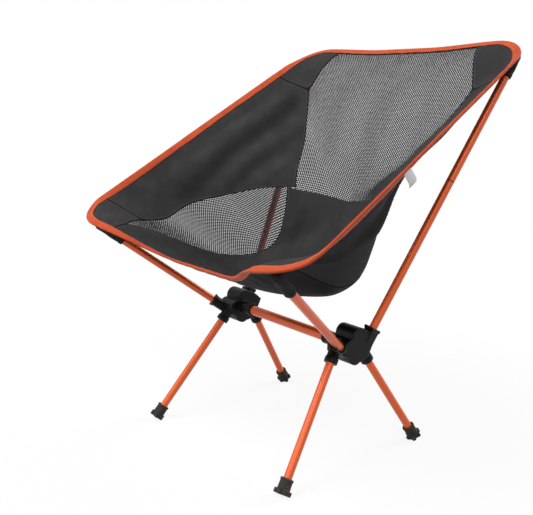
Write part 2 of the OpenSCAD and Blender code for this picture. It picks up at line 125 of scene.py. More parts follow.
def linear(red: int, green: int, blue: int) -> Colour:
    """Turn a screen colour into a scene colour.

    Args:
        red: Red from 0 to 255.
        green: Green from 0 to 255.
        blue: Blue from 0 to 255.

    Returns:
        The three parts on Blender's linear scale.
    """
    parts = (channel / 255 for channel in (red, green, blue))
    return tuple(p / 12.92 if p <= 0.04045 else ((p + 0.055) / 1.055) ** 2.4 for p in parts)


def ease(t: Array) -> Array:
    """Smooth step of t, held at 0 below 0 and at 1 above 1."""
    c = np.clip(t, 0, 1)
    return c * c * (3 - 2 * c)


def unit(vectors: Array) -> Array:
    """Scale vectors, along the last axis, to length 1."""
    return vectors / np.maximum(np.linalg.norm(vectors, axis=-1, keepdims=True), 1e-12)


def distances(points: Array) -> Array:
    """Distance of each point of a line from its first point, along the line."""
    return np.concatenate([[0], np.cumsum(np.linalg.norm(np.diff(points, axis=0), axis=1))])


def paired(first: Array, second: Array) -> Array:
    """Spread two sets of flat places over one another and list them as points."""
    return np.stack(np.broadcast_arrays(first, second), axis=-1).reshape(-1, 2)


def grid(rows: int, cols: int, closed: bool = False) -> tuple[Array, Array]:
    """Number the points of a grid and find its faces.

    Args:
        rows: Rows of points.
        cols: Points in a row.
        closed: Whether each row runs back into its first point.

    Returns:
        The numbers of the points by row, and the faces of four points.
    """
    index = np.arange(rows * cols).reshape(rows, cols)
    wide = np.concatenate([index, index[:, :1]], axis=1) if closed else index
    faces = np.stack([wide[:-1, :-1], wide[:-1, 1:], wide[1:, 1:], wide[1:, :-1]], axis=-1)
    return index, faces.reshape(-1, 4)


class Wire:
    """A shader socket that takes part in Python arithmetic."""

    def __init__(self, graph: "Graph", socket: bpy.types.NodeSocket) -> None:
        """Hold an output socket of a graph's node."""
        self.graph = graph
        self.socket = socket

    def op(self, operation: str, *values: "Wire | float") -> "Wire":
        """Add one Math node.

        Args:
            operation: The Math node's operation.
            values: Its inputs in order.

        Returns:
            The node's result.
        """
        node = self.graph.node("ShaderNodeMath", {"operation": operation}, dict(enumerate(values)))
        return self.graph.wire(node)

    def __add__(self, other: "Wire | float") -> "Wire":
        """Sum."""
        return self.op("ADD", self, other)

    __radd__ = __add__

    def __sub__(self, other: "Wire | float") -> "Wire":
        """Difference."""
        return self.op("SUBTRACT", self, other)

    def __rsub__(self, other: float) -> "Wire":
        """Difference from a number."""
        return self.op("SUBTRACT", other, self)

    def __mul__(self, other: "Wire | float") -> "Wire":
        """Product."""
        return self.op("MULTIPLY", self, other)

    __rmul__ = __mul__

    def __truediv__(self, other: "Wire | float") -> "Wire":
        """Quotient."""
        return self.op("DIVIDE", self, other)

    def __abs__(self) -> "Wire":
        """Size without its sign."""
        return self.op("ABSOLUTE", self)

    def wave(self, length: float) -> "Wire":
        """Sine that repeats after a length, from -1 to 1."""
        return self.op("SINE", self * (2 * math.pi / length))

    def share(self, length: float) -> "Wire":
        """Place within a repeat, from 0 to 1."""
        return self.op("FRACT", self / length)

    def step(self, low: float, high: float) -> "Wire":
        """Smooth rise from 0 at low to 1 at high, or a fall where high is less."""
        t = self.op("MINIMUM", self.op("MAXIMUM", (self - low) / (high - low), 0.0), 1.0)
        return t * t * (3.0 - 2.0 * t)


class Graph:
    """A node tree under construction."""

    def __init__(self, tree: bpy.types.NodeTree) -> None:
        """Hold a node tree and empty it."""
        self.tree = tree
        tree.nodes.clear()

    def node(self, kind: str, settings: dict | None = None, inputs: dict | None = None) -> bpy.types.Node:
        """Add a node.

        Args:
            kind: Type name of the node.
            settings: Attributes to set first.
            inputs: Values or wires for its sockets, by name or number.

        Returns:
            The node.
        """
        made = self.tree.nodes.new(kind)
        for key, value in (settings or {}).items():
            setattr(made, key, value)
        self.join(made, inputs or {})
        return made

    def join(self, node: bpy.types.Node, inputs: dict) -> None:
        """Set sockets of a node to values, or link wires to them."""
        for key, value in inputs.items():
            if isinstance(value, Wire):
                self.tree.links.new(value.socket, node.inputs[key])
            else:
                node.inputs[key].default_value = value

    def wire(self, node: bpy.types.Node, output: str | int = 0) -> Wire:
        """Wrap one output of a node."""
        return Wire(self, node.outputs[output])

    def seen(self) -> Wire:
        """1 on the rays that make the picture, straight or by way of a gloss or a gap, and 0 on others."""
        path = self.node("ShaderNodeLightPath")
        rays = ("Is Camera Ray", "Is Glossy Ray", "Is Transmission Ray")
        camera, gloss, gap = (self.wire(path, ray) for ray in rays)
        return camera.op("MAXIMUM", camera.op("MAXIMUM", camera, gloss), gap)


class Recipe(Graph):
    """One material under construction."""

    def __init__(self, name: str, **sockets: float) -> None:
        """Start a material with one principled shader.

        Args:
            name: Name of the material.
            sockets: Values for the shader's sockets, with underscores for spaces.
        """
        self.material = bpy.data.materials.new(name)
        self.material.use_nodes = True
        super().__init__(self.material.node_tree)
        values = {key.replace("_", " "): value for key, value in sockets.items()}
        self.shader = self.node("ShaderNodeBsdfPrincipled", inputs=values)
        self.output = self.node("ShaderNodeOutputMaterial", inputs={"Surface": self.wire(self.shader)})

    def place(self) -> Wire:
        """Object coordinates, in metres."""
        return self.wire(self.node("ShaderNodeTexCoord"), "Object")

    def chart(self, name: str) -> tuple[Wire, Wire]:
        """Both coordinates of a UV map, in millimetres.

        Args:
            name: Name of the map.

        Returns:
            The map's two coordinates.
        """
        flat = self.wire(self.node("ShaderNodeUVMap", {"uv_map": name}))
        parts = self.node("ShaderNodeSeparateXYZ", inputs={0: flat})
        return self.wire(parts, 0) * PER_METRE, self.wire(parts, 1) * PER_METRE

    def noise(self, scale: float, detail: float = 3.0) -> Wire:
        """Noise from 0 to 1 on Object coordinates.

        Args:
            scale: Repeats to the metre.
            detail: Octaves.

        Returns:
            The noise.
        """
        inputs = {"Vector": self.place(), "Scale": scale, "Detail": detail}
        return self.wire(self.node("ShaderNodeTexNoise", inputs=inputs), 0)

    def mix(self, factor: Wire | float, first: Wire | Colour, second: Wire | Colour) -> Wire:
        """Mix two colours.

        Args:
            factor: Share of the second colour.
            first: Colour at 0.
            second: Colour at 1.

        Returns:
            The mixed colour.
        """
        pair = [c if isinstance(c, Wire) else (*c, 1) for c in (first, second)]
        node = self.node("ShaderNodeMix", {"data_type": "RGBA"}, {0: factor, 6: pair[0], 7: pair[1]})
        return self.wire(node, 2)

    def finish(self, tone: Wire, rough: Wire, height: Wire, relief: Pair) -> Material:
        """Feed the shader with what changes over the surface.

        Args:
            tone: Colour.
            rough: Roughness.
            height: Height from 0 to 1.
            relief: Strength of the bumps, and their full height in metres.

        Returns:
            The material.
        """
        values = {"Height": height, "Strength": relief[0], "Distance": relief[1]}
        bump = self.node("ShaderNodeBump", inputs=values)
        self.join(self.shader, {"Base Color": tone, "Roughness": rough, "Normal": self.wire(bump)})
        return self.material


@dataclass(frozen=True)
class Anodised:
    """Dyed anodised tube with a fine grain and, on the poles, a dark line of painted shade where two sections
    meet.
    """

    name: str = "anodised_orange"
    colour: Colour = linear(236, 98, 36)
    shade: Colour = linear(222, 90, 34)
    # Painted shade of the narrow gap where the pole's two sections meet.
    gap: Colour = linear(58, 26, 14)
    rough: float = 0.34
    relief: Pair = (0.03, 0.0001)
    joint: tuple[float, ...] = ()
    joint_edge: Pair = (0.0011, 0.0006)

    def make(self) -> Material:
        """Build the material."""
        r = Recipe(self.name, Metallic=0.3, IOR=1.5, Coat_Weight=0.22, Coat_Roughness=0.2)
        cloud = r.noise(9.0, 2.0)
        grain = r.noise(1500.0, 2.0)
        scuff = r.noise(60.0, 6.0).step(0.62, 0.74)
        tone = r.mix(cloud.step(0.35, 0.7) * 0.6 + grain * 0.12, self.colour, self.shade)
        if self.joint:
            x, y, z, far = self.joint
            parts = r.node("ShaderNodeSeparateXYZ", inputs={0: r.place()})
            along = abs(r.wire(parts, 0)) * x + r.wire(parts, 1) * y + r.wire(parts, 2) * z
            # A dark line across the pole at the joint: painted shade of the gap between the sections.
            tone = r.mix(abs(along - far).step(*self.joint_edge), tone, self.gap)
        return r.finish(tone, self.rough + 0.08 * grain + 0.08 * scuff, grain, self.relief)


@dataclass(frozen=True)
class Moulded:
    """Black moulded nylon with a fine spark-eroded grain and paler rubbed spots."""

    name: str = "moulded_black"
    colour: Colour = linear(13, 12, 13)
    rubbed: Colour = linear(27, 26, 27)
    rough: float = 0.3
    relief: Pair = (0.12, 0.0003)

    def make(self) -> Material:
        """Build the material."""
        r = Recipe(self.name, IOR=1.5, Specular_IOR_Level=0.15)
        grain = r.noise(1400.0, 3.0)
        patch = r.noise(45.0, 4.0)
        tone = r.mix(patch.step(0.5, 0.78), self.colour, self.rubbed)
        return r.finish(tone, self.rough + 0.14 * grain + 0.1 * patch, grain, self.relief)


@dataclass(frozen=True)
class Rubber:
    """Matt foot rubber with dust in its grain."""

    name: str = "rubber_dark"
    colour: Colour = linear(52, 47, 46)
    dust: Colour = linear(88, 82, 78)
    rough: float = 0.66
    relief: Pair = (0.3, 0.0005)

    def make(self) -> Material:
        """Build the material."""
        r = Recipe(self.name, IOR=1.48, Specular_IOR_Level=0.25)
        grain = r.noise(700.0, 5.0)
        dusty = r.noise(80.0, 4.0).step(0.52, 0.75)
        tone = r.mix(dusty * 0.6 + grain * 0.15, self.colour, self.dust)
        return r.finish(tone, self.rough + 0.2 * grain, grain, self.relief)


@dataclass(frozen=True)
class Woven:
    """Plain-weave polyester, darkened as painted shade on its back face and in a band along its hems, with a
    sewn line along its hems.
    """

    name: str = "cloth_black"
    colour: Colour = linear(53, 52, 53)
    thread: Colour = linear(86, 85, 86)
    # Colour of the painted shade on the back face and in the band along the hems.
    backing: Colour = linear(16, 16, 17)
    rough: float = 0.46
    relief: Pair = (0.35, 0.0005)
    pitch: float = 1.3
    hem: float = 4.0
    # Width of the band of painted shade along the hems.
    lap: float = 2.6
    stitch: float = 3.6

    def make(self) -> Material:
        """Build the material."""
        r = Recipe(self.name, IOR=1.5, Specular_IOR_Level=0.02)
        x, y = r.chart("cloth")
        weft = x.wave(self.pitch) * y.wave(2 * self.pitch)
        warp = y.wave(self.pitch) * (x + self.pitch / 2).wave(2 * self.pitch)
        weave = (weft + warp) * 0.25 + 0.5
        cloud = r.noise(26.0, 4.0)
        inset, run = r.chart("hem")
        stitches = abs(run.share(self.stitch) - 0.5).step(0.38, 0.3)
        seam = abs(inset - self.hem).step(0.75, 0.35) * stitches
        tone = r.mix(weave * 0.22 + cloud.step(0.4, 0.75) * 0.22, self.colour, self.thread)
        # Painted shade in a band along the hems, where the panels meet at the seams.
        tone = r.mix(inset.step(self.lap, 0.6) * 0.8, tone, self.backing)
        # Painted shade on the back face, the shaded underside of the sling.
        tone = r.mix(r.chart("face")[0] * 0.85, tone, self.backing)
        tone = r.mix(seam * 0.75, tone, self.thread)
        return r.finish(tone, self.rough + 0.16 * cloud + 0.1 * weave, weave * 0.5 + seam, self.relief)


@dataclass(frozen=True)
class Net:
    """Knitted polyester net; its holes are in the mesh, its strands have a knitted twist."""

    name: str = "net_grey"
    colour: Colour = linear(46, 46, 48)
    pale: Colour = linear(76, 76, 78)
    # Colour of the painted shade on the net's back face.
    back: Colour = linear(14, 14, 15)
    rough: float = 0.6
    relief: Pair = (0.4, 0.0003)
    strand: float = 0.9

    def make(self) -> Material:
        """Build the material."""
        r = Recipe(self.name, IOR=1.5, Specular_IOR_Level=0.06)
        x, y = r.chart("cloth")
        twist = (x + y).wave(self.strand) * (x - y).wave(self.strand) * 0.5 + 0.5
        cloud = r.noise(30.0, 3.0)
        tone = r.mix(twist * 0.35 + cloud * 0.3, self.colour, self.pale)
        # Painted shade on the back face, the shaded underside of the sling.
        tone = r.mix(r.chart("face")[0] * 0.7, tone, self.back)
        return r.finish(tone, self.rough + 0.2 * twist, twist, self.relief)


@dataclass(frozen=True)
class Webbing:
    """Orange ribbed edge tape with a sewn line near its inner edges, and painted shade along a crease near
    its fold.
    """

    name: str = "tape_orange"
    colour: Colour = linear(206, 84, 44)
    # Darker tone for the random clouding and the ribs, and for the painted shade in the crease.
    shade: Colour = linear(162, 58, 28)
    thread: Colour = linear(222, 116, 76)
    rough: float = 0.52
    relief: Pair = (0.4, 0.0005)
    rib: float = 1.1
    stitch: float = 3.4
    seam: float = 8.6
    # Distance from the fold to the crease that carries painted shade.
    crease: float = 2.0

    def make(self) -> Material:
        """Build the material."""
        r = Recipe(self.name, IOR=1.48, Specular_IOR_Level=0.2, Sheen_Weight=0.05, Sheen_Roughness=0.4)
        across, along = r.chart("tape")
        ribs = along.wave(self.rib) * 0.5 + 0.5
        cloud = r.noise(40.0, 4.0)
        stitches = abs(along.share(self.stitch) - 0.5).step(0.36, 0.28)
        seam = abs(abs(across) - self.seam).step(0.8, 0.4) * stitches
        # Painted shade along the crease near the tape's fold.
        crease = abs(abs(across) - self.crease).step(1.2, 0.2)
        tone = r.mix(ribs * 0.16 + cloud.step(0.4, 0.8) * 0.5 + crease * 0.12, self.colour, self.shade)
        tone = r.mix(seam * 0.7, tone, self.thread)
        height = ribs * 0.35 + seam + r.noise(260.0, 3.0) * 0.5
        return r.finish(tone, self.rough + 0.12 * ribs + 0.1 * cloud, height, self.relief)


@dataclass(frozen=True)
class Elastic:
    """Braided black cover of the elastic cord."""

    name: str = "elastic_black"
    colour: Colour = linear(24, 24, 26)
    fleck: Colour = linear(92, 92, 94)
    rough: float = 0.6
    relief: Pair = (0.5, 0.0003)
    plait: float = 2.0

    def make(self) -> Material:
        """Build the material."""
        r = Recipe(self.name)
        around, along = r.chart("cord")
        braid = (around + along).wave(self.plait) * (around - along).wave(self.plait) * 0.5 + 0.5
        tone = r.mix(braid.step(0.6, 0.95) * 0.6, self.colour, self.fleck)
        return r.finish(tone, self.rough + 0.2 * braid, braid, self.relief)


@dataclass(frozen=True)
class Satin:
    """White satin ribbon of the blank care label."""

    name: str = "label_white"
    colour: Colour = linear(248, 247, 245)
    shade: Colour = linear(228, 227, 225)
    rough: float = 0.42
    relief: Pair = (0.25, 0.0002)
    pitch: float = 0.8

    def make(self) -> Material:
        """Build the material."""
        r = Recipe(self.name, Sheen_Weight=0.2)
        x, y = r.chart("cloth")
        weave = x.wave(self.pitch) * y.wave(self.pitch) * 0.5 + 0.5
        tone = r.mix(weave * 0.3 + r.noise(120.0) * 0.4, self.colour, self.shade)
        return r.finish(tone, self.rough + 0.15 * weave, weave, self.relief)


@dataclass(frozen=True)
class Line:
    """A straight tube axis."""

    start: Place
    end: Place

    @property
    def length(self) -> float:
        """Distance between the ends."""
        return float(np.linalg.norm(np.subtract(self.end, self.start)))

    @property
    def way(self) -> Array:
        """Direction from start to end."""
        return unit(np.subtract(self.end, self.start))

    def at(self, s: float) -> Array:
        """Point at a distance from the start."""
        return np.array(self.start) + s * self.way

    def pose(self, s: float, twist: float = 0.0) -> Matrix:
        """Frame whose Z runs along the axis.

        Args:
            s: Distance from the start.
            twist: Turn about the axis in degrees.

        Returns:
            The frame's matrix, in metres.
        """
        x, y, z = self.way
        lean = Matrix.Rotation(math.atan2(y, x), 4, "Z") @ Matrix.Rotation(math.acos(z), 4, "Y")
        return Matrix.Translation(self.at(s) * MM) @ lean @ Matrix.Rotation(math.radians(twist), 4, "Z")

    def moved(self, by: Array) -> "Line":
        """The same axis at another place."""
        return Line(tuple(np.add(self.start, by)), tuple(np.add(self.end, by)))


@dataclass(frozen=True)
class Socket:
    """Where a tube sits in its hub: its axis, the mouth's place on it and the depth from there."""

    line: Line
    mouth: float
    depth: float

    @property
    def floor(self) -> float:
        """Place of the socket's bottom on the axis."""
        return self.mouth - self.depth


@dataclass
class FrameLines:
    """Axes and sockets of the tubes on the sitter's left."""

    bar_y: float = -15.5
    bar_z: float = 191.0
    half_bar: float = 124.0
    joint_share: float = 0.56
    ferrule: float = 60.0

    def level(self, fore: float = 0.0, lift: float = 0.0) -> Line:
        """Axis across the chair, beside the crossbar's own."""
        y, z = self.bar_y + fore, self.bar_z + lift
        return Line((0, y, z), (1, y, z))

    def socket(self, tube: Tube) -> Socket:
        """Find the socket of a tube.

        Args:
            tube: Which tube.

        Returns:
            Its socket on the sitter's left.
        """
        leg, pole, y, z = self.half_bar + 13.5, self.half_bar + 30, self.bar_y, self.bar_z
        return {
            Tube.LEG_FRONT: Socket(Line((leg, y - 18, z), (175, y - 163, 0)), 30, 19),
            Tube.LEG_REAR: Socket(Line((leg - 1.5, y + 23, z), (170, y + 141, 0)), 45, 30),
            Tube.POLE_FRONT: Socket(Line((pole, y - 25, z), (237, y - 226, 355)), 22, 25),
            Tube.POLE_REAR: Socket(Line((pole, y + 29, z), (232, y + 270, 632)), 25, 45),
        }[tube]

    @property
    def joint(self) -> float:
        """Place of the rear pole's joint on its axis."""
        return self.socket(Tube.POLE_REAR).line.length * self.joint_share


class Bench:
    """Modelling helpers on Blender's operators."""

    EDGE_CUTS = 3
    RIM_ANGLE = math.radians(50)
    RING_SIDES = 64

    @staticmethod
    def clear() -> None:
        """Leave edit mode and deselect everything."""
        if bpy.context.object and bpy.context.object.mode != "OBJECT":
            bpy.ops.object.mode_set(mode="OBJECT")
        bpy.ops.object.select_all(action="DESELECT")

    @staticmethod
    def pick(*objects: Piece) -> None:
        """Select objects and make the first one active."""
        Bench.clear()
        for item in objects:
            item.select_set(True)
        bpy.context.view_layer.objects.active = objects[0]

    @staticmethod
    @contextmanager
    def edit(obj: Piece) -> Iterator[None]:
        """Open an object's whole mesh in edit mode, and close it again."""
        Bench.pick(obj)
        bpy.ops.object.mode_set(mode="EDIT")
        bpy.ops.mesh.select_all(action="SELECT")
        yield
        bpy.ops.object.mode_set(mode="OBJECT")

    @staticmethod
    def outward(obj: Piece) -> None:
        """Turn an object's faces outwards."""
        with Bench.edit(obj):
            bpy.ops.mesh.normals_make_consistent(inside=False)

    @staticmethod
    def settle() -> Piece:
        """Apply the active object's place to its mesh and return it."""
        bpy.ops.object.transform_apply(location=True, rotation=True, scale=True)
        return bpy.context.object

    @staticmethod
    def rod(line: Line, s0: float, s1: float, r0: float, r1: float | None = None, sides: int = 56) -> Piece:
        """Add a round bar or cone along an axis.

        Args:
            line: The axis.
            s0: Place of its first end on the axis.
            s1: Place of its second end.
            r0: Radius at the first end.
            r1: Radius at the second end, or the same.
            sides: Number of sides.

        Returns:
            The bar.
        """
        Bench.clear()
        frame = line.pose((s0 + s1) / 2)
        bpy.ops.mesh.primitive_cone_add(
            vertices=sides,
            radius1=r0 * MM,
            radius2=(r0 if r1 is None else r1) * MM,
            depth=(s1 - s0) * MM,
            location=frame.to_translation(),
            rotation=frame.to_euler(),
        )
        return Bench.settle()

    @staticmethod
    def block(frame: Matrix, size: Place, edge: float) -> Piece:
        """Add a box with rounded edges.

        Args:
            frame: Place of its middle.
            size: Its three sizes.
            edge: Radius of its edges.

        Returns:
            The box.
        """
        Bench.clear()
        bpy.ops.mesh.primitive_cube_add(
            size=1,
            location=frame.to_translation(),
            rotation=frame.to_euler(),
            scale=[s * MM for s in size],
        )
        made = Bench.settle()
        with Bench.edit(made):
            bpy.ops.mesh.bevel(offset=edge * MM, segments=Bench.EDGE_CUTS, affect="EDGES")
        return made

    @staticmethod
    def plate(outline: list[Pair], x0: float, x1: float) -> Piece:
        """Extrude an outline across the chair.

        Args:
            outline: Fore-and-aft places and heights of its corners, in order.
            x0: Place of its first face.
            x1: Place of its second face.

        Returns:
            The plate.
        """
        Bench.clear()
        bpy.ops.mesh.primitive_circle_add(vertices=len(outline), radius=MM, fill_type="NGON")
        made = bpy.context.object
        for corner, (y, z) in zip(made.data.vertices, outline):
            corner.co = Vector((x0, y, z)) * MM
        with Bench.edit(made):
            bpy.ops.mesh.extrude_region_move(TRANSFORM_OT_translate={"value": ((x1 - x0) * MM, 0, 0)})
        Bench.outward(made)
        return made

    @staticmethod
    def apply(obj: Piece, kind: str, **settings: object) -> None:
        """Add a modifier and apply it.

        Args:
            obj: The object.
            kind: The modifier's type.
            settings: Its settings.
        """
        Bench.pick(obj)
        modifier = obj.modifiers.new("work", kind)
        for key, value in settings.items():
            setattr(modifier, key, value)
        bpy.ops.object.modifier_apply(modifier=modifier.name)

    @staticmethod
    def fuse(parts: list[Piece], voxel: float, rounds: int) -> Piece:
        """Melt overlapping parts into one moulding with rounded inner corners.

        Args:
            parts: The overlapping parts.
            voxel: Size of the remesh.
            rounds: Rounds of smoothing, which set the fillets.

        Returns:
            The moulding.
        """
        Bench.pick(*parts)
        bpy.ops.object.join()
        made = bpy.context.object
        Bench.apply(made, "REMESH", mode="VOXEL", voxel_size=voxel * MM, adaptivity=0.0)
        Bench.apply(made, "SMOOTH", factor=0.5, iterations=rounds)
        return made

    @staticmethod
    def cut(obj: Piece, tools: list[Piece]) -> None:
        """Cut tools out of an object and delete them.

        Args:
            obj: The object.
            tools: The cutting shapes.
        """
        for tool in tools:
            Bench.apply(obj, "BOOLEAN", operation="DIFFERENCE", solver="EXACT", object=tool)
            bpy.data.objects.remove(tool)

    @staticmethod
    def ring(line: Line, s0: float, s1: float, inner: float, outer: float, edge: float) -> Piece:
        """Model a collar with rounded rims round an axis.

        Args:
            line: The axis.
            s0: Place of its first face.
            s1: Place of its second face.
            inner: Bore radius.
            outer: Outside radius.
            edge: Radius of the rims.

        Returns:
            The collar.
        """
        made = Bench.rod(line, s0, s1, outer, sides=Bench.RING_SIDES)
        Bench.cut(made, [Bench.rod(line, s0 - 1, s1 + 1, inner, sides=Bench.RING_SIDES)])
        rims = {"limit_method": "ANGLE", "angle_limit": Bench.RIM_ANGLE}
        Bench.apply(made, "BEVEL", width=edge * MM, segments=Bench.EDGE_CUTS, **rims)
        return made

    @staticmethod
    def shade(obj: Piece, angle: float) -> None:
        """Shade smooth up to an angle in degrees."""
        Bench.pick(obj)
        bpy.ops.object.shade_smooth_by_angle(angle=math.radians(angle))

    @staticmethod
    def dress(obj: Piece, name: str, material: Material) -> None:
        """Name an object and give it its only material."""
        obj.name = obj.data.name = name
        obj.data.materials.clear()
        obj.data.materials.append(material)

    @staticmethod
    def pair(obj: Piece, name: str, material: Material, angle: float) -> dict[Side, Piece]:
        """Finish a left-hand moulding and copy it to the other half of the chair.

        Args:
            obj: The moulding.
            name: Name of the pieces, without their side.
            material: Their material.
            angle: Angle in degrees up to which they are smooth.

        Returns:
            Both pieces by their side, each with its own mesh.
        """
        Bench.shade(obj, angle)
        Bench.dress(obj, f"{name}_{Side.LEFT.word}", material)
        twin = obj.copy()
        twin.data = obj.data.copy()
        twin.name = twin.data.name = f"{name}_{Side.RIGHT.word}"
        twin.data.transform(Matrix.Scale(-1, 4, (1, 0, 0)))
        twin.data.flip_normals()
        bpy.context.collection.objects.link(twin)
        return {Side.LEFT: obj, Side.RIGHT: twin}


@dataclass
class Shell:
    """Points, faces, corner normals and charts of a mesh made in code."""

    points: Array
    faces: list[tuple[int, ...]]
    charts: dict[str, Array]
    normals: Array | None = None

    @staticmethod
    def swept(rings: Array, charts: dict[str, Array], side: Side) -> "Shell":
        """Close a row of rings into a solid.

        Args:
            rings: Points by ring, in order round it.
            charts: UV values at those points, by map name.
            side: Which half; on the right the rings are mirrored, so the faces are turned.

        Returns:
            The closed shell.
        """
        index, quads = grid(*rings.shape[:2], closed=True)
        faces = [*quads.tolist(), index[0][::-1].tolist(), index[-1].tolist()]
        return Shell(rings.reshape(-1, 3), [tuple(face[:: side.value]) for face in faces], charts)

    @staticmethod
    def thick(mid: Array, up: Array, quads: Array, depth: float, charts: dict[str, Array]) -> "Shell":
        """Give a sheet of quads its thickness and close its rim.

        Args:
            mid: Points of the sheet's middle.
            up: Normals at those points.
            quads: Faces of four points, seen from above.
            depth: Thickness.
            charts: UV values at those points, by map name.

        Returns:
            The closed shell.
        """
        first = mid[quads]
        facing = np.cross(first[:, 2] - first[:, 0], first[:, 3] - first[:, 1])
        if (facing * up[quads[:, 0]]).sum() < 0:
            quads = quads[:, ::-1]
        count = len(mid)
        edges = np.stack([quads, np.roll(quads, -1, axis=1)], axis=-1).reshape(-1, 2)
        edges = edges[edges[:, 0] != edges[:, 1]]
        order = np.sort(edges, axis=1)
        _, back, uses = np.unique(order, axis=0, return_inverse=True, return_counts=True)
        rim = edges[uses[back.ravel()] == 1]
        points = np.concatenate([mid + up * depth / 2, mid - up * depth / 2])
        walls = np.stack([rim[:, 0] + count, rim[:, 1] + count, rim[:, 1], rim[:, 0]], axis=1)
        side = points[walls]
        out = unit(np.cross(side[:, 1] - side[:, 0], side[:, 3] - side[:, 0]))
        low = quads[:, ::-1]
        faces = np.concatenate([quads, low + count, walls])
        normals = np.concatenate([up[quads], -up[low], np.repeat(out[:, None], 4, axis=1)])
        kept_faces, kept_normals = [], []
        for face, corner in zip(faces.tolist(), normals):
            keep = [k for k in range(4) if face[k] != face[k - 1]]
            kept_faces.append(tuple(face[k] for k in keep))
            kept_normals.append(corner[keep])
        doubled = {key: np.concatenate([value, value]) for key, value in charts.items()}
        doubled["face"] = np.repeat([[0.0, 0.0], [1.0, 0.0]], count, axis=0)
        return Shell(points, kept_faces, doubled, np.concatenate(kept_normals))

    def mesh(self, name: str, material: Material) -> Piece:
        """Make the object.

        Args:
            name: Name of the piece.
            material: Its material.

        Returns:
            The object, in metres.
        """
        data = bpy.data.meshes.new(name)
        data.from_pydata((self.points * MM).tolist(), [], self.faces)
        corners = np.zeros(len(data.loops), np.int32)
        data.loops.foreach_get("vertex_index", corners)
        for key, values in self.charts.items():
            layer = data.uv_layers.new(name=key)
            layer.uv.foreach_set("vector", (values[corners] * MM).astype(np.float32).ravel())
        data.shade_smooth()
        if self.normals is not None:
            data.normals_split_custom_set(self.normals.tolist())
        data.materials.append(material)
        obj = bpy.data.objects.new(name, data)
        bpy.context.collection.objects.link(obj)
        return obj


@dataclass(frozen=True)
class Fold:
    """A soft fold along a slightly bowed line of the sling, in flat millimetres."""

    start: Pair
    end: Pair
    width: float
    height: float
    bow: float = 0.0
    fade: float = 0.3

    def lift(self, x: Array, y: Array) -> Array:
        """Height of the fold at flat points.

        Args:
            x: Places across.
            y: Places from front to top.

        Returns:
            Heights in millimetres.
        """
        way = np.subtract(self.end, self.start)
        reach = float(np.hypot(*way))
        way = way / reach
        dx, dy = x - self.start[0], y - self.start[1]
        t = (dx * way[0] + dy * way[1]) / reach
        off = dx * way[1] - dy * way[0] - self.bow * 4 * t * (1 - t)
        ridge = self.height * np.exp(-((off / self.width) ** 2))
        return ridge * ease(t / self.fade) * ease((1 - t) / self.fade)


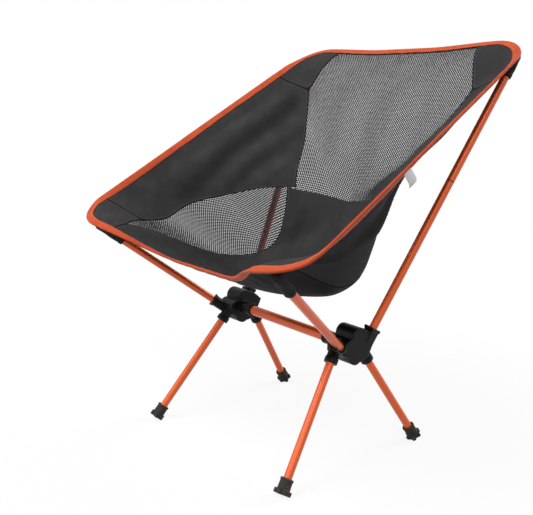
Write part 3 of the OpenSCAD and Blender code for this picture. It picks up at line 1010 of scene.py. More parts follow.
@dataclass
class SlingForm:
    """Surface of the sling: u runs across from -1 to 1, v from the front edge to the top edge."""

    bar_y: float = -15.5
    wide_front: float = 292.0
    wide_rear: float = 260.0
    front_mid: Pair = (-178.0, 312.0)
    top_mid: Pair = (276.0, 646.0)
    front_edge: Pair = (-245.0, 359.0)
    top_edge: Pair = (275.0, 652.0)
    bucket: float = 171.0
    sag: Pair = (1.0, 2.07)
    front_share: float = 0.63
    top_share: float = 0.6
    tip_v: float = 0.062
    corner_v: float = 0.11
    window_v: float = 0.485
    back_v: float = 0.494
    patch_v: float = 0.84
    split_v: float = 0.43
    front_v: float = 0.06
    seam_v: float = 0.49
    patch_share: float = 0.667
    drawn: float = 0.038
    draw_v: float = 0.2
    flat: Pair = (280.0, 620.0)
    front_round: Pair = (0.105, 0.3)  # reach along v, share cut away
    rear_round: Pair = (0.115, 0.27)
    level: float = 0.43
    waist: Trio = (0.375, 0.5, 0.11)  # depth, place and reach
    flare: Trio = (0.5, 0.6, 0.35)  # gain, start and run
    turn: Pair = (0.085, 0.4)  # radius, and its growth at the waist
    end_runs: Pair = (0.2, 0.15)
    end_slope: Pair = (0.2, 0.6)
    inner_waist: Pair = (0.367, 0.43)  # share across, place along v
    inner_bow: Pair = (1.405, 7.6)
    outer_waist: Pair = (0.782, 0.25)
    outer_bow: Pair = (2.6, 7.0)
    seam_run: Pair = (0.5, 0.33)  # start along v, run
    seam_curve: Trio = (0.344, 0.321, 0.043)
    ripple: float = 0.45
    pucker: tuple[float, float, float, float] = (0.9, 27.0, 17.0, 12.0)  # height, pitch, inset, reach
    calm: Pair = (4.0, 26.0)  # flat edge, run to the full folds
    nudge: Pair = (0.004, 0.002)
    row_counts: tuple[int, int, int] = (16, 74, 20)
    folds: tuple[Fold, ...] = (
        Fold((-256, 110), (-236, 600), 17, 7.5, 17),
        Fold((-242, 90), (-206, 570), 15, -7.0, 22),
        Fold((-228, 160), (-164, 490), 13, 5.0, 13),
        Fold((-206, 190), (-142, 410), 10, -3.2, 8),
        Fold((-152, 262), (-126, 384), 7, 2.4, 3),
        Fold((-262, 250), (-252, 480), 9, -2.0, 4),
        Fold((252, 110), (232, 590), 18, 7.0, -15),
        Fold((238, 90), (202, 560), 15, -6.5, -20),
        Fold((222, 180), (160, 440), 13, 3.6, -10),
        Fold((150, 262), (128, 384), 7, 2.2, -3),
        Fold((-62, 70), (-18, 330), 12, 2.0, 6),
        Fold((-86, 190), (-58, 330), 8, -1.2, 3),
        Fold((-20, 60), (14, 320), 11, -1.8, -5),
        Fold((34, 80), (50, 330), 13, 2.2, 8),
        Fold((82, 110), (84, 320), 11, -1.7, 4),
        Fold((-104, 100), (-74, 310), 11, 1.5, -6),
        Fold((-70, 345), (-92, 560), 24, 3.4, 5),
        Fold((-14, 350), (-20, 540), 22, -3.2, 0),
        Fold((40, 345), (52, 560), 24, 3.4, -5),
        Fold((96, 350), (112, 540), 18, -2.4, 0),
    )

    def half_w(self, v: Array) -> Array:
        """Half the width of the untrimmed cloth."""
        return self.wide_front + (self.wide_rear - self.wide_front) * v

    def trim(self, v: Array) -> Array:
        """Share of the half width that the rounded corners leave."""
        (front_v, front_cut), (rear_v, rear_cut) = self.front_round, self.rear_round
        front, rear = np.clip(1 - v / front_v, 0, 1), np.clip(1 - (1 - v) / rear_v, 0, 1)
        return 1 - front_cut * (1 - np.sqrt(1 - front**2)) - rear_cut * (1 - np.sqrt(1 - rear**2))

    def middle(self, v: Array) -> Array:
        """Fore-and-aft place and height of the middle line."""
        a, b = self.sag
        low = a / (a + b)
        depth = self.bucket * (v / low) ** a * ((1 - v) / (1 - low)) ** b
        way = np.subtract(self.top_mid, self.front_mid)
        norm = unit(way)
        start = np.array(self.front_mid)
        return start + v[..., None] * way + depth[..., None] * np.array([norm[1], -norm[0]])

    def rim(self, v: Array) -> Array:
        """Fore-and-aft place and height of the side edges."""
        way = np.subtract(self.top_edge, self.front_edge)
        return np.array(self.front_edge) + v[..., None] * way

    def bend(self, v: Array) -> Array:
        """Share of the half width at which the cloth turns up."""
        depth, place, reach = self.waist
        gain, start, run = self.flare
        return self.level - depth * np.exp(-(((v - place) / reach) ** 2)) + gain * ease((v - start) / run)

    def ramp(self, s: Array, v: Array) -> Array:
        """Height across the cloth: level as far as its bend, then straight up to the edge."""
        bend, (radius, growth) = self.bend(v), self.turn
        return np.hypot(s - bend, radius + growth * np.maximum(0, self.level - bend)) + s - bend

    def climb(self, s: Array, v: Array) -> Array:
        """Share of the way from the middle line to the side edge."""
        k = ease(v / self.end_runs[0]) * ease((1 - v) / self.end_runs[1])
        start, run = self.end_slope
        foot = self.ramp(0.0, v)
        return (1 - k) * ease((s - start) / run) + k * (self.ramp(s, v) - foot) / (self.ramp(1.0, v) - foot)

    def plain(self, a: Array, v: Array) -> Array:
        """Points of the smooth surface; a is u with the corners' trim."""
        a, v = np.broadcast_arrays(np.asarray(a, float), np.asarray(v, float))
        mid, edge = self.middle(v), self.rim(v)
        place = mid + (edge - mid) * self.climb(np.abs(a), v)[..., None]
        return np.stack([a * self.half_w(v), self.bar_y + place[..., 0], place[..., 1]], axis=-1)

    def facing(self, surface: Pattern, a: Array, v: Array) -> Array:
        """Normals of a surface of a and v, towards the sitter."""
        da, dv = self.nudge
        along = surface(a, np.minimum(1, v + dv)) - surface(a, np.maximum(0, v - dv))
        return unit(np.cross(surface(a + da, v) - surface(a - da, v), along))

    def plain_up(self, a: Array, v: Array) -> Array:
        """Normals of the smooth surface."""
        return self.facing(self.plain, a, v)

    def relief(self, a: Array, v: Array) -> Array:
        """Height of the folds, ripples and edge puckers over the smooth surface."""
        x, y = a * self.flat[0], v * self.flat[1]
        lift = sum(fold.lift(x, y) for fold in self.folds)
        across, along = x / 13 + 1.7 * np.sin(y / 37), y / 29 + 1.3 * np.sin(x / 31)
        lift = lift + self.ripple * np.sin(across) * np.sin(along)
        side = np.maximum(0, 1 - np.abs(a) / self.trim(v)) * self.half_w(v)
        fore = np.minimum(v, 1 - v) * self.flat[1]
        height, pitch, inset, reach = self.pucker
        wave = height * np.sin(2 * np.pi * (x + y) / pitch + 2 * np.sin(y / 61))
        lift = lift + wave * np.exp(-(((np.minimum(side, fore) - inset) / reach) ** 2))
        edge, run = self.calm
        return lift * ease((side - edge) / run) * ease((fore - edge) / run)

    def at(self, a: Array, v: Array) -> Array:
        """Points of the folded surface."""
        return self.plain(a, v) + self.relief(a, v)[..., None] * self.plain_up(a, v)

    def up(self, a: Array, v: Array) -> Array:
        """Normals of the folded surface."""
        return self.facing(self.at, a, v)

    def skin(self, u: Array, v: Array) -> Array:
        """Points of the trimmed sling."""
        u, v = np.broadcast_arrays(np.asarray(u, float), np.asarray(v, float))
        return self.at(u * self.trim(v), v)

    @property
    def top_u(self) -> float:
        """Place across where the rear patches meet the top edge."""
        return self.top_share / float(self.trim(np.array(1.0)))

    def front_line(self, v: Array) -> Array:
        """Seam between the seat and the front patches."""
        return (self.front_share + (self.patch_share - self.front_share) * v / self.front_v) / self.trim(v)

    def ended(self, v: Array, bow: Array) -> Array:
        """A window's edge, drawn into the seams in front of it and behind it."""
        return np.where(v < self.front_v, self.front_line(v), np.where(v > self.seam_v, self.seam(v), bow))

    def inner(self, v: Array) -> Array:
        """Seam between the middle panels and the windows or side panels."""
        (share, waist), (fore, aft) = self.inner_waist, self.inner_bow
        bow = np.where(v < waist, fore * np.maximum(0, waist - v) ** 1.5, aft * (v - waist) ** 2)
        return self.ended(v, share + bow)

    def outer(self, v: Array) -> Array:
        """Seam between the windows and the side panels."""
        share, waist = self.outer_waist
        return self.ended(v, share - np.where(v < waist, *self.outer_bow) * (v - waist) ** 2)

    def seam(self, v: Array) -> Array:
        """Seam between the back net and the side panels, then the rear patches."""
        (start, run), (share, slope, curve) = self.seam_run, self.seam_curve
        t = (np.minimum(v, self.patch_v) - start) / run
        side = share + slope * t + curve * t * t
        rest = np.clip((1 - v) / (1 - self.patch_v), 0, 1)
        return (self.top_share + (side - self.top_share) * rest) / self.trim(v)

    def draw(self, v: Array) -> Array:
        """How far the middle of a row is drawn up towards the seam across the seat."""
        fall = ease((self.patch_v - v) / (self.patch_v - self.back_v))
        return self.drawn * ease((v - self.draw_v) / (self.back_v - self.draw_v)) * fall

    def arch(self, u: Array) -> Array:
        """Share of that draw across the seat, from 1 in the middle to 0 at the side seams."""
        return np.maximum(0, 1 - (u / self.seam(np.array(self.back_v))) ** 2)

    def rows(self, low: float, high: float) -> Array:
        """Row places between two values of v, closer at the rounded corners.

        Args:
            low: First row.
            high: Last row.

        Returns:
            The rows, both ends included.
        """
        fore, mid, aft = self.row_counts
        front = self.corner_v * (np.arange(fore + 1) / fore) ** 2
        middle = np.linspace(self.corner_v, self.patch_v, mid)
        rear = 1 - (1 - self.patch_v) * (np.arange(aft, -1, -1) / aft) ** 2
        every = np.unique(np.concatenate([front, middle, rear]).round(9))
        least = self.nudge[1]
        return np.concatenate([[low], every[(every > low + least) & (every < high - least)], [high]])


@dataclass(frozen=True)
class Pull:
    """A straight stretch zone between two bodies, for the cloth that follows a pole."""

    first: str
    second: str
    start: Array
    end: Array

    def take(self, obj: Piece) -> None:
        """Apply an object's place to its mesh; it is not made to stretch between the two bodies."""
        tuple(self.start * MM)
        tuple(self.end * MM)
        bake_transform(obj)


def keep(obj: Piece, slot: str, nodes: list[str], carrier: Pull | str) -> None:
    """Hand a finished piece to the frame and report it.

    Args:
        obj: The piece.
        slot: The record's material slot; not used.
        nodes: The nodes that it stands for.
        carrier: Its stretch zone, or the body that it rides on.
    """
    if isinstance(carrier, Pull):
        carrier.take(obj)
    else:
        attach(obj, carrier)
    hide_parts(*nodes)
    LOG.info("%s: %d faces", obj.name, len(obj.data.polygons))


@dataclass
class Sling:
    """The bucket sling: cloth panels, nets, pockets, edge tape and care label."""

    form: SlingForm
    lines: FrameLines
    cloth: Material
    net: Material
    tape: Material
    label: Material
    cloth_t: float = 2.0
    no_hem: float = 99.0
    flat_spare: float = 1.02
    apex_front: float = 0.03
    apex_rear: float = 0.965
    split_gap: float = 0.03
    zone_short: Trio = (7.0, 1.5, 5.0)  # front, rear, tip
    net_t: float = 0.4
    net_half: float = 2.3
    net_hole: Pair = (0.46, 0.51)
    net_wide: float = 0.78
    net_top: Pair = (420.0, 3.0)  # length of v at the top edge, tuck under the tape
    window_hole: Pair = (0.64, 0.43)
    window_wide: Pair = (0.34, 0.8)
    window_slope: float = 1.25
    hole_run: float = 0.2
    net_tuck: float = 6.0
    net_over: Pair = (0.04, 0.02)
    net_samples: int = 400
    tape_w: float = 11.0
    tape_t: float = 0.9
    tape_gap: float = 0.18
    tape_lap: float = 0.35
    tape_smooth: float = 50.0
    tape_steps: tuple[int, ...] = (60, 26, 40, 50, 36, 16, 48)  # from the front's middle to the top's
    tape_ahead: Trio = (0.01, 0.008, 0.017)  # at the split, the patch and the top
    pocket_r: float = 8.0
    pocket_mouth: tuple[float, ...] = (0.0, 0.4, 6.0, 7.0)  # stations from its mouth, with a hem
    pocket_tip: tuple[float, ...] = (-6.0, -4.0, -2.0, 0.0, 1.0)  # stations from the pole's end
    pocket_radii: tuple[float, ...] = (8.3, 8.9, 8.9, 8.3, 8.2, 7.9, 7.2, 5.2, 2.0)
    pocket_hem: float = 14.0
    pocket_under: float = 3.2
    pocket_rise: float = 26.0
    pocket_run: float = 0.55
    pocket_ridge: float = 0.42
    pocket_slack: Pair = (0.35, 7.0)  # height, and the radius above which it shows
    pocket_sides: int = 32
    pocket_smooth: float = 60.0
    lining: Pair = (0.86, 30.0)  # share of the mouth's radius, depth
    label_v: float = 0.405
    label_half: float = 8.0
    label_t: float = 1.0
    label_sway: Pair = (1.5, 5.5)
    label_drop: Trio = (1.5, 27.5, 3.0)  # start, length, curl
    label_cup: float = 0.5

    def zone(self, corner: Corner, side: Side) -> Pull:
        """Find the stretch zone of a corner.

        Args:
            corner: Which corner.
            side: Which half.

        Returns:
            The zone.
        """
        f, flip = self.form, np.array([side.value, 1, 1])
        front, rear, tip = self.zone_short
        pole = self.lines.socket(Tube.POLE_FRONT if corner is Corner.FRONT else Tube.POLE_REAR).line
        goal, apex = np.array(pole.end, float), f.skin(1, self.apex_rear)
        lower = f"rear_{side.word}_lower"
        if corner is Corner.FRONT:
            bodies, apex = ("frame", f"front_{side.word}_pole"), f.skin(1, self.apex_front)
            one, two, short = f.skin(0, 0), f.skin(1, f.split_v - self.split_gap), front
        elif corner is Corner.REAR:
            bodies, goal = ("frame", lower), f.skin(f.seam(f.patch_v), f.patch_v)
            one, two, short = f.skin(0, 1), f.skin(1, f.split_v + self.split_gap), rear
        else:
            bodies = (lower, f"rear_{side.word}_upper")
            one, two, short = f.skin(f.top_u, 1), f.skin(1, f.patch_v), tip
        along = unit(two - one)
        way = unit((apex - one) - along * ((apex - one) @ along))
        reach = (goal - one) @ way - short
        return Pull(*bodies, one * flip, (one + way * reach) * flip)

    def hang(self, cut: Cut, slot: str, nodes: list[str], pull: Pull) -> None:
        """Args:
            cut: The panel, the places across and along of its points, and its flat area.
            slot: The record's material slot.
            nodes: The nodes that it stands for.
            pull: Its stretch zone.
        """
        obj, u, v, area = cut
        keep(obj, slot, nodes, pull)
        place = self.form.skin(u, v)
        wide, high = np.ptp(place[..., 0]), np.linalg.norm(np.ptp(place[..., 1:].reshape(-1, 2), axis=0))
        scale = max(1.0, math.sqrt(area / (wide * high)) * self.flat_spare)
        flat = (round(wide * scale * MM, 3), round(high * scale * MM, 3))
        area * MM * MM

    def panel(
        self, name: str, low: float, high: float, first: Edge, last: Edge, cols: int, side: Side
    ) -> Cut:
        """Make a cloth panel between two lines of the pattern.

        Args:
            name: Name of the piece.
            low: First row.
            high: Last row.
            first: Its inner line, by v.
            last: Its outer line, by v.
            cols: Columns.
            side: Which half.

        Returns:
            The object, its u and v places and its area.
        """
        f = self.form
        rows = f.rows(low, high)
        v = np.repeat(rows[:, None], cols + 1, axis=1)
        near, far = first(v), last(v)
        u = (near + (far - near) * np.linspace(0, 1, cols + 1)) * side.value
        if not near.any():
            v = v + f.draw(v) * f.arch(u)
        a = u * f.trim(v)
        mid, up = f.at(a, v), f.up(a, v)
        step = np.linalg.norm(np.diff(mid, axis=1), axis=2)
        x = np.concatenate([np.zeros((len(rows), 1)), np.cumsum(step, axis=1)], axis=1)
        rise = np.linalg.norm(np.diff(mid, axis=0), axis=2).mean(axis=1)
        y = np.repeat(np.concatenate([[0], np.cumsum(rise)])[:, None], cols + 1, axis=1)
        none, raw = self.no_hem, (0.0, f.split_v, 1.0)
        sides = np.minimum(np.where(near > 0.01, x, none), np.where(far < 0.99, x[:, -1:] - x, none))
        ends = np.minimum(none if low in raw else y, none if high in raw else y[-1:] - y)
        hem, run = np.minimum(sides, ends), np.where(sides < ends, y, x)
        charts = {"cloth": paired(x, y), "hem": paired(hem, run)}
        _, quads = grid(*u.shape)
        shell = Shell.thick(mid.reshape(-1, 3), up.reshape(-1, 3), quads, self.cloth_t, charts)
        one, two = mid[1:, 1:] - mid[:-1, :-1], mid[1:, :-1] - mid[:-1, 1:]
        area = float(np.linalg.norm(np.cross(one, two), axis=2).sum() / 2)
        return shell.mesh(name, self.cloth), u, v, area

    def netting(self, name: str, box: tuple[float, ...], inside: Pattern, hole: Pair, side: Side) -> Cut:
        """Make a net panel with real holes, trimmed to a line that the cloth beside it hides.

        Args:
            name: Name of the piece.
            box: Lowest and highest place across, and lowest and highest row.
            inside: Distance inside the panel's outline, by place across and v.
            hole: Share of a cell's width that is open, in the first rows and in the others.
            side: Which half.

        Returns:
            The object, its u and v places and its area.
        """
        f, p = self.form, self.net_half
        a_low, a_high, v_low, v_high = box
        over_a, over_v = self.net_over
        v_run = np.linspace(max(0, v_low - over_v), min(1, v_high + over_v), self.net_samples)
        a_run = np.linspace(max(0, a_low - over_a), a_high + over_a, self.net_samples)
        y_run = distances(f.plain((a_low + a_high) / 2, v_run))
        x_run = distances(f.plain(a_run, (v_low + v_high) / 2))

        def spot(x: Array, y: Array) -> tuple[Array, Array]:
            """Turn flat places into places on the sling."""
            a = np.interp(np.abs(x), x_run, a_run) * np.where(x < 0, -1, 1)
            return a * side.value, np.interp(y, y_run, v_run)

        wide, tall = np.arange(0, int(x_run[-1] / p) + 2), np.arange(-1, int(y_run[-1] / p) + 2)
        i, j = (number.ravel() for number in np.meshgrid(wide, tall))
        a, v = spot(i * p, j * p)
        take = ((i + j) % 2 == 1) & (inside(np.abs(a), v) > -self.net_tuck)
        take &= (j * p > y_run[0] - p) & (j * p < y_run[-1] + p)
        if side is Side.RIGHT and a_low == 0:
            take &= i > 0
        i, j = i[take], j[take]
        clear = np.interp(v[take], [v_low, v_low + self.hole_run], hole)
        corners = [(1, 0), (0, 1), (-1, 0), (0, -1)]
        ends = np.concatenate([np.stack([i + dx, j + dy], axis=1) for dx, dy in corners])
        knots, where = np.unique(ends, axis=0, return_inverse=True)
        where = where.reshape(4, -1)
        holes = [np.stack([i + dx * clear, j + dy * clear], axis=1) for dx, dy in corners]
        flat = np.concatenate([knots.astype(float), *holes]) * p
        a, v = spot(flat[:, 0], flat[:, 1])
        count = len(i)
        rim = len(knots) + np.arange(4 * count).reshape(4, count)
        quads = [np.stack([where[k - 1], where[k], rim[k], rim[k - 1]], axis=1) for k in (1, 2, 3, 0)]
        shell = Shell.thick(f.at(a, v), f.up(a, v), np.concatenate(quads), self.net_t, {"cloth": flat})
        return shell.mesh(name, self.net), a / f.trim(v), v, count * 2 * p * p

    def build_panels(self, side: Side) -> None:
        """Make the cloth panels and nets of one half."""
        f, w = self.form, side.word
        zero, one = np.zeros_like, np.ones_like
        front, rear, tip = (self.zone(corner, side) for corner in Corner)
        plan = (
            ("seat_cloth", 0.0, f.back_v, zero, f.inner, 34, front, "seat_panel"),
            ("side_cloth_front", f.corner_v, f.split_v, f.outer, one, 22, front, f"side_panel_{w}"),
            ("side_cloth_rear", f.split_v, f.patch_v, f.outer, one, 30, rear, f"side_panel_{w}"),
            ("corner_cloth_front", 0.0, f.corner_v, f.outer, one, 18, front, f"patch_front_{w}"),
            ("corner_cloth_rear", f.patch_v, 1.0, f.outer, one, 18, tip, f"patch_rear_{w}"),
        )
        for name, low, high, first, last, cols, pull, node in plan:
            cut = self.panel(f"{name}_{w}", low, high, first, last, cols, side)
            self.hang(cut, "cloth_black", [node], pull)

        def in_back(a: Array, v: Array) -> Array:
            """Distance inside the back net's outline."""
            (length, tuck), low = self.net_top, f.back_v + f.drawn * f.arch(a)
            across = (f.seam(v) * f.trim(v) - a) * f.half_w(v)
            fore, aft = (v - low) * f.flat[1], (1.0 - v) * length + self.net_tuck - tuck
            return np.minimum(across, np.minimum(fore, aft))

        def in_window(a: Array, v: Array) -> Array:
            """Distance inside a window's outline."""
            t = f.trim(v)
            across = np.minimum(f.outer(v) * t - a, a - f.inner(v) * t) * f.half_w(v) * self.window_slope
            return np.minimum(across, np.minimum(v - f.tip_v, f.window_v - v) * f.flat[1])

        cut = self.netting(f"back_net_{w}", (0.0, self.net_wide, f.back_v, 1.0), in_back, self.net_hole, side)
        self.hang(cut, "mesh_grey", ["back_mesh"], rear)
        box = (*self.window_wide, f.tip_v, f.window_v)
        cut = self.netting(f"window_net_{w}", box, in_window, self.window_hole, side)
        self.hang(cut, "mesh_grey", [f"window_{w}"], front)

    def tape_run(self, name: str, run: Array, side: Side, over: float) -> Piece:
        """Sweep the folded tape along the sling's edge.

        Args:
            name: Name of the piece.
            run: Rows of u and v on the left half, one row more at both ends.
            side: Which half.
            over: Height that the tape stands over its usual place, at a lapped end.

        Returns:
            The object.
        """
        f = self.form
        u, v = run[:, 0] * side.value, run[:, 1]
        spine = f.skin(u, v)
        up = f.plain_up(u * f.trim(v), v)[1:-1]
        way = unit(spine[2:] - spine[:-2])
        out = unit(np.cross(way, up)) * side.value
        centre = spine[1:-1]
        lengths = distances(centre)
        h = self.cloth_t / 2 + self.tape_gap + over
        t, w = self.tape_t, self.tape_w
        turn = np.linspace(-math.pi / 2, math.pi / 2, 7)
        fold = [(0.5 + (h + t) * 0.75 * math.cos(k), (h + t) * math.sin(k)) for k in turn]
        back = [(0.3 + h * 0.5 * math.cos(k), h * math.sin(k)) for k in turn[::-1]]
        low = [(-w, -h - t * 0.55), (-w + 0.5, -h - t), (-w * 0.5, -h - t)]
        high = [(-w * 0.5, h + t), (-w + 0.5, h + t), (-w, h + t * 0.55), (-w, h + 0.1)]
        profile = np.array([*low, *fold, *high, (-w * 0.5, h), *back, (-w * 0.5, -h), (-w, -h - 0.1)])
        ripple = 0.16 * np.sin(lengths / 3.7 + 2 * np.sin(lengths / 23)) + 0.12 * np.sin(lengths / 9.1)
        wobble = 0.35 * np.sin(lengths / 31 + 1.0) + 0.2 * np.sin(lengths / 7.7)
        inner = np.clip(-profile[:, 0] / w, 0, 1)
        offset = profile[None, :, 0] - wobble[:, None] * inner[None]
        rise = profile[None, :, 1] + (ripple[:, None] * inner[None]) * np.sign(profile[None, :, 1])
        points = centre[:, None] + out[:, None] * offset[..., None] + up[:, None] * rise[..., None]
        across = np.where(profile[:, 1] < 0, -1, 1) * -profile[:, 0]
        chart = paired(across[None, :], lengths[:, None])
        obj = Shell.swept(points, {"tape": chart}, side).mesh(name, self.tape)
        Bench.outward(obj)
        Bench.shade(obj, self.tape_smooth)
        return obj

    def build_tape(self, side: Side) -> None:
        """Make the edge tape of one half, from the middle of the front to the middle of the top."""
        f, w = self.form, side.word
        front, rear, tip = (self.zone(corner, side) for corner in Corner)
        front_n, round_n, fore_n, side_n, bend_n, top_n, last_n = self.tape_steps
        split, patch, top = self.tape_ahead
        across = [(k / front_n, 0.0) for k in range(-1, front_n)]
        lower = [(1.0, f.corner_v * (k / round_n) ** 2) for k in range(round_n + 1)]
        fore = [(1.0, f.corner_v + (f.split_v - f.corner_v) * k / fore_n) for k in range(1, fore_n + 1)]
        aft = [(1.0, f.split_v + (f.patch_v - f.split_v) * k / side_n) for k in range(side_n + 1)]
        bend = [(1.0, 1 - (1 - f.patch_v) * (1 - k / bend_n) ** 2) for k in range(bend_n + 1)]
        inward = [(1 - (1 - f.top_u) * k / top_n, 1.0) for k in range(1, top_n + 2)]
        last = [(f.top_u * (1 - k / last_n), 1.0) for k in range(last_n + 2)]
        runs = {
            "tape_front": [*across, *lower, *fore, (1.0, f.split_v + split)],
            "tape_side": [(1.0, f.split_v - split), *aft, (1.0, f.patch_v + patch)],
            "tape_corner": [(1.0, f.patch_v - patch), *bend, *inward],
            "tape_top": [(f.top_u + top, 1.0), *last],
        }
        plan = (
            ("tape_front", front, 0.0, ["tape_front", f"tape_corner_front_{w}", f"tape_side_{w}"]),
            ("tape_side", rear, self.tape_lap, [f"tape_side_{w}"]),
            ("tape_corner", tip, 0.0, [f"tape_corner_rear_{w}"]),
            ("tape_top", rear, 0.0, ["tape_top"]),
        )
        for name, pull, over, nodes in plan:
            obj = self.tape_run(f"edge_{name}_{w}", np.array(runs[name]), side, over)
            keep(obj, "tape_orange", nodes, pull)

    def build_pocket(self, tube: Tube, cover: float, spot: Pair, body: str, side: Side) -> None:
        """Make the sleeve that holds a pole tip under its corner.

        Args:
            tube: Which pole.
            cover: Length of tube that it covers.
            spot: Place on the sling where its back seam ends, as u and v.
            body: Body that it rides on.
            side: Which half.
        """
        f, line, v = self.form, self.lines.socket(tube).line, np.array(spot[1])
        root = f.skin(*spot) - self.pocket_under * f.plain_up(spot[0] * f.trim(v), v)
        way, end = line.way, line.at(line.length)
        lift = unit((root - end) - way * ((root - end) @ way))
        aside = np.cross(way, lift)
        mouth, tip = -cover + np.array(self.pocket_mouth), np.array(self.pocket_tip)
        stations = np.concatenate([mouth, np.linspace(-cover + self.pocket_hem, tip[0], 9), tip[1:]])
        radii = np.interp(stations, [*mouth, *tip], self.pocket_radii)
        angle = np.linspace(0, 2 * math.pi, self.pocket_sides + 1)[:-1]
        from_ridge = np.minimum(angle, 2 * math.pi - angle) / self.pocket_ridge
        around = np.cos(angle)[:, None] * lift + np.sin(angle)[:, None] * aside
        loose, least = self.pocket_slack
        rings = []
        for s, r in zip(stations, radii):
            centre = line.at(line.length + s)
            rise = max(0.0, (root - centre) @ lift - self.pocket_r)
            grown = float(ease(np.array((s + cover) / (cover * self.pocket_run))))
            tall = min(rise, self.pocket_rise) * grown
            bulge = r + tall * np.exp(-(from_ridge**2))
            slack = loose * np.sin(3 * angle + s / 5) * (r > least)
            rings.append(centre + (bulge + slack)[:, None] * around)
        share, depth = self.lining
        lip = line.at(line.length - cover)
        lining = (rings[0] - lip) * share
        points = np.stack([line.at(line.length - cover + depth) + lining, lip + lining, *rings])
        points[..., 0] *= side.value
        gaps = np.maximum(0.5, np.diff(stations, prepend=stations[0]))
        along = np.concatenate([[0, depth], depth + np.cumsum(gaps)])[:, None]
        girth = angle[None] * self.pocket_r
        charts = {"cloth": paired(girth, along), "hem": paired(along - depth, girth)}
        obj = Shell.swept(points, charts, side).mesh(f"tip_pocket_{tube.end}_{side.word}", self.cloth)
        Bench.outward(obj)
        Bench.shade(obj, self.pocket_smooth)
        keep(obj, "cloth_black", [f"pocket_{tube.end}_{side.word}"], body)

    def build_label(self) -> None:
        """Make the blank care label, a folded ribbon sewn under the left side edge."""
        f, v = self.form, self.label_v
        edge = f.skin(1.0, v)
        way = unit(f.skin(1.0, v + 0.01) - f.skin(1.0, v - 0.01))
        out = unit(np.cross(way, [0.0, 0.0, 1.0]))
        fall = np.cross(way, out)
        down = fall if fall[2] < 0 else -fall
        t = np.linspace(0, 1, 25)
        sway = self.label_sway[0] + self.label_sway[1] * np.sin(t * math.pi * 0.9) * t
        start, length, curl = self.label_drop
        drop = start + length * t - curl * t**3
        spread = np.linspace(-self.label_half, self.label_half, 9)
        path = edge + out * (sway[:, None] - 3.0) + down * drop[:, None]
        cup = self.label_cup * np.cos(spread / 4)
        mid = path[:, None] + way * spread[None, :, None] + out * cup[None, :, None]
        up = unit(np.cross(np.gradient(mid, axis=0), np.gradient(mid, axis=1)))
        _, quads = grid(*mid.shape[:2])
        charts = {"cloth": paired(spread[None, :], drop[:, None])}
        shell = Shell.thick(mid.reshape(-1, 3), up.reshape(-1, 3), quads, self.label_t, charts)
        obj = shell.mesh("care_ribbon", self.label)
        keep(obj, "label_white", ["care_label"], self.zone(Corner.FRONT, Side.LEFT))

    def build(self) -> None:
        """Make the whole sling."""
        for side in Side:
            self.build_panels(side)
            self.build_tape(side)
            self.build_pocket(Tube.POLE_FRONT, 54.0, (0.82, 0.05), f"front_{side.word}_pole", side)
            self.build_pocket(Tube.POLE_REAR, 40.0, (0.93, 0.95), f"rear_{side.word}_upper", side)
        self.build_label()


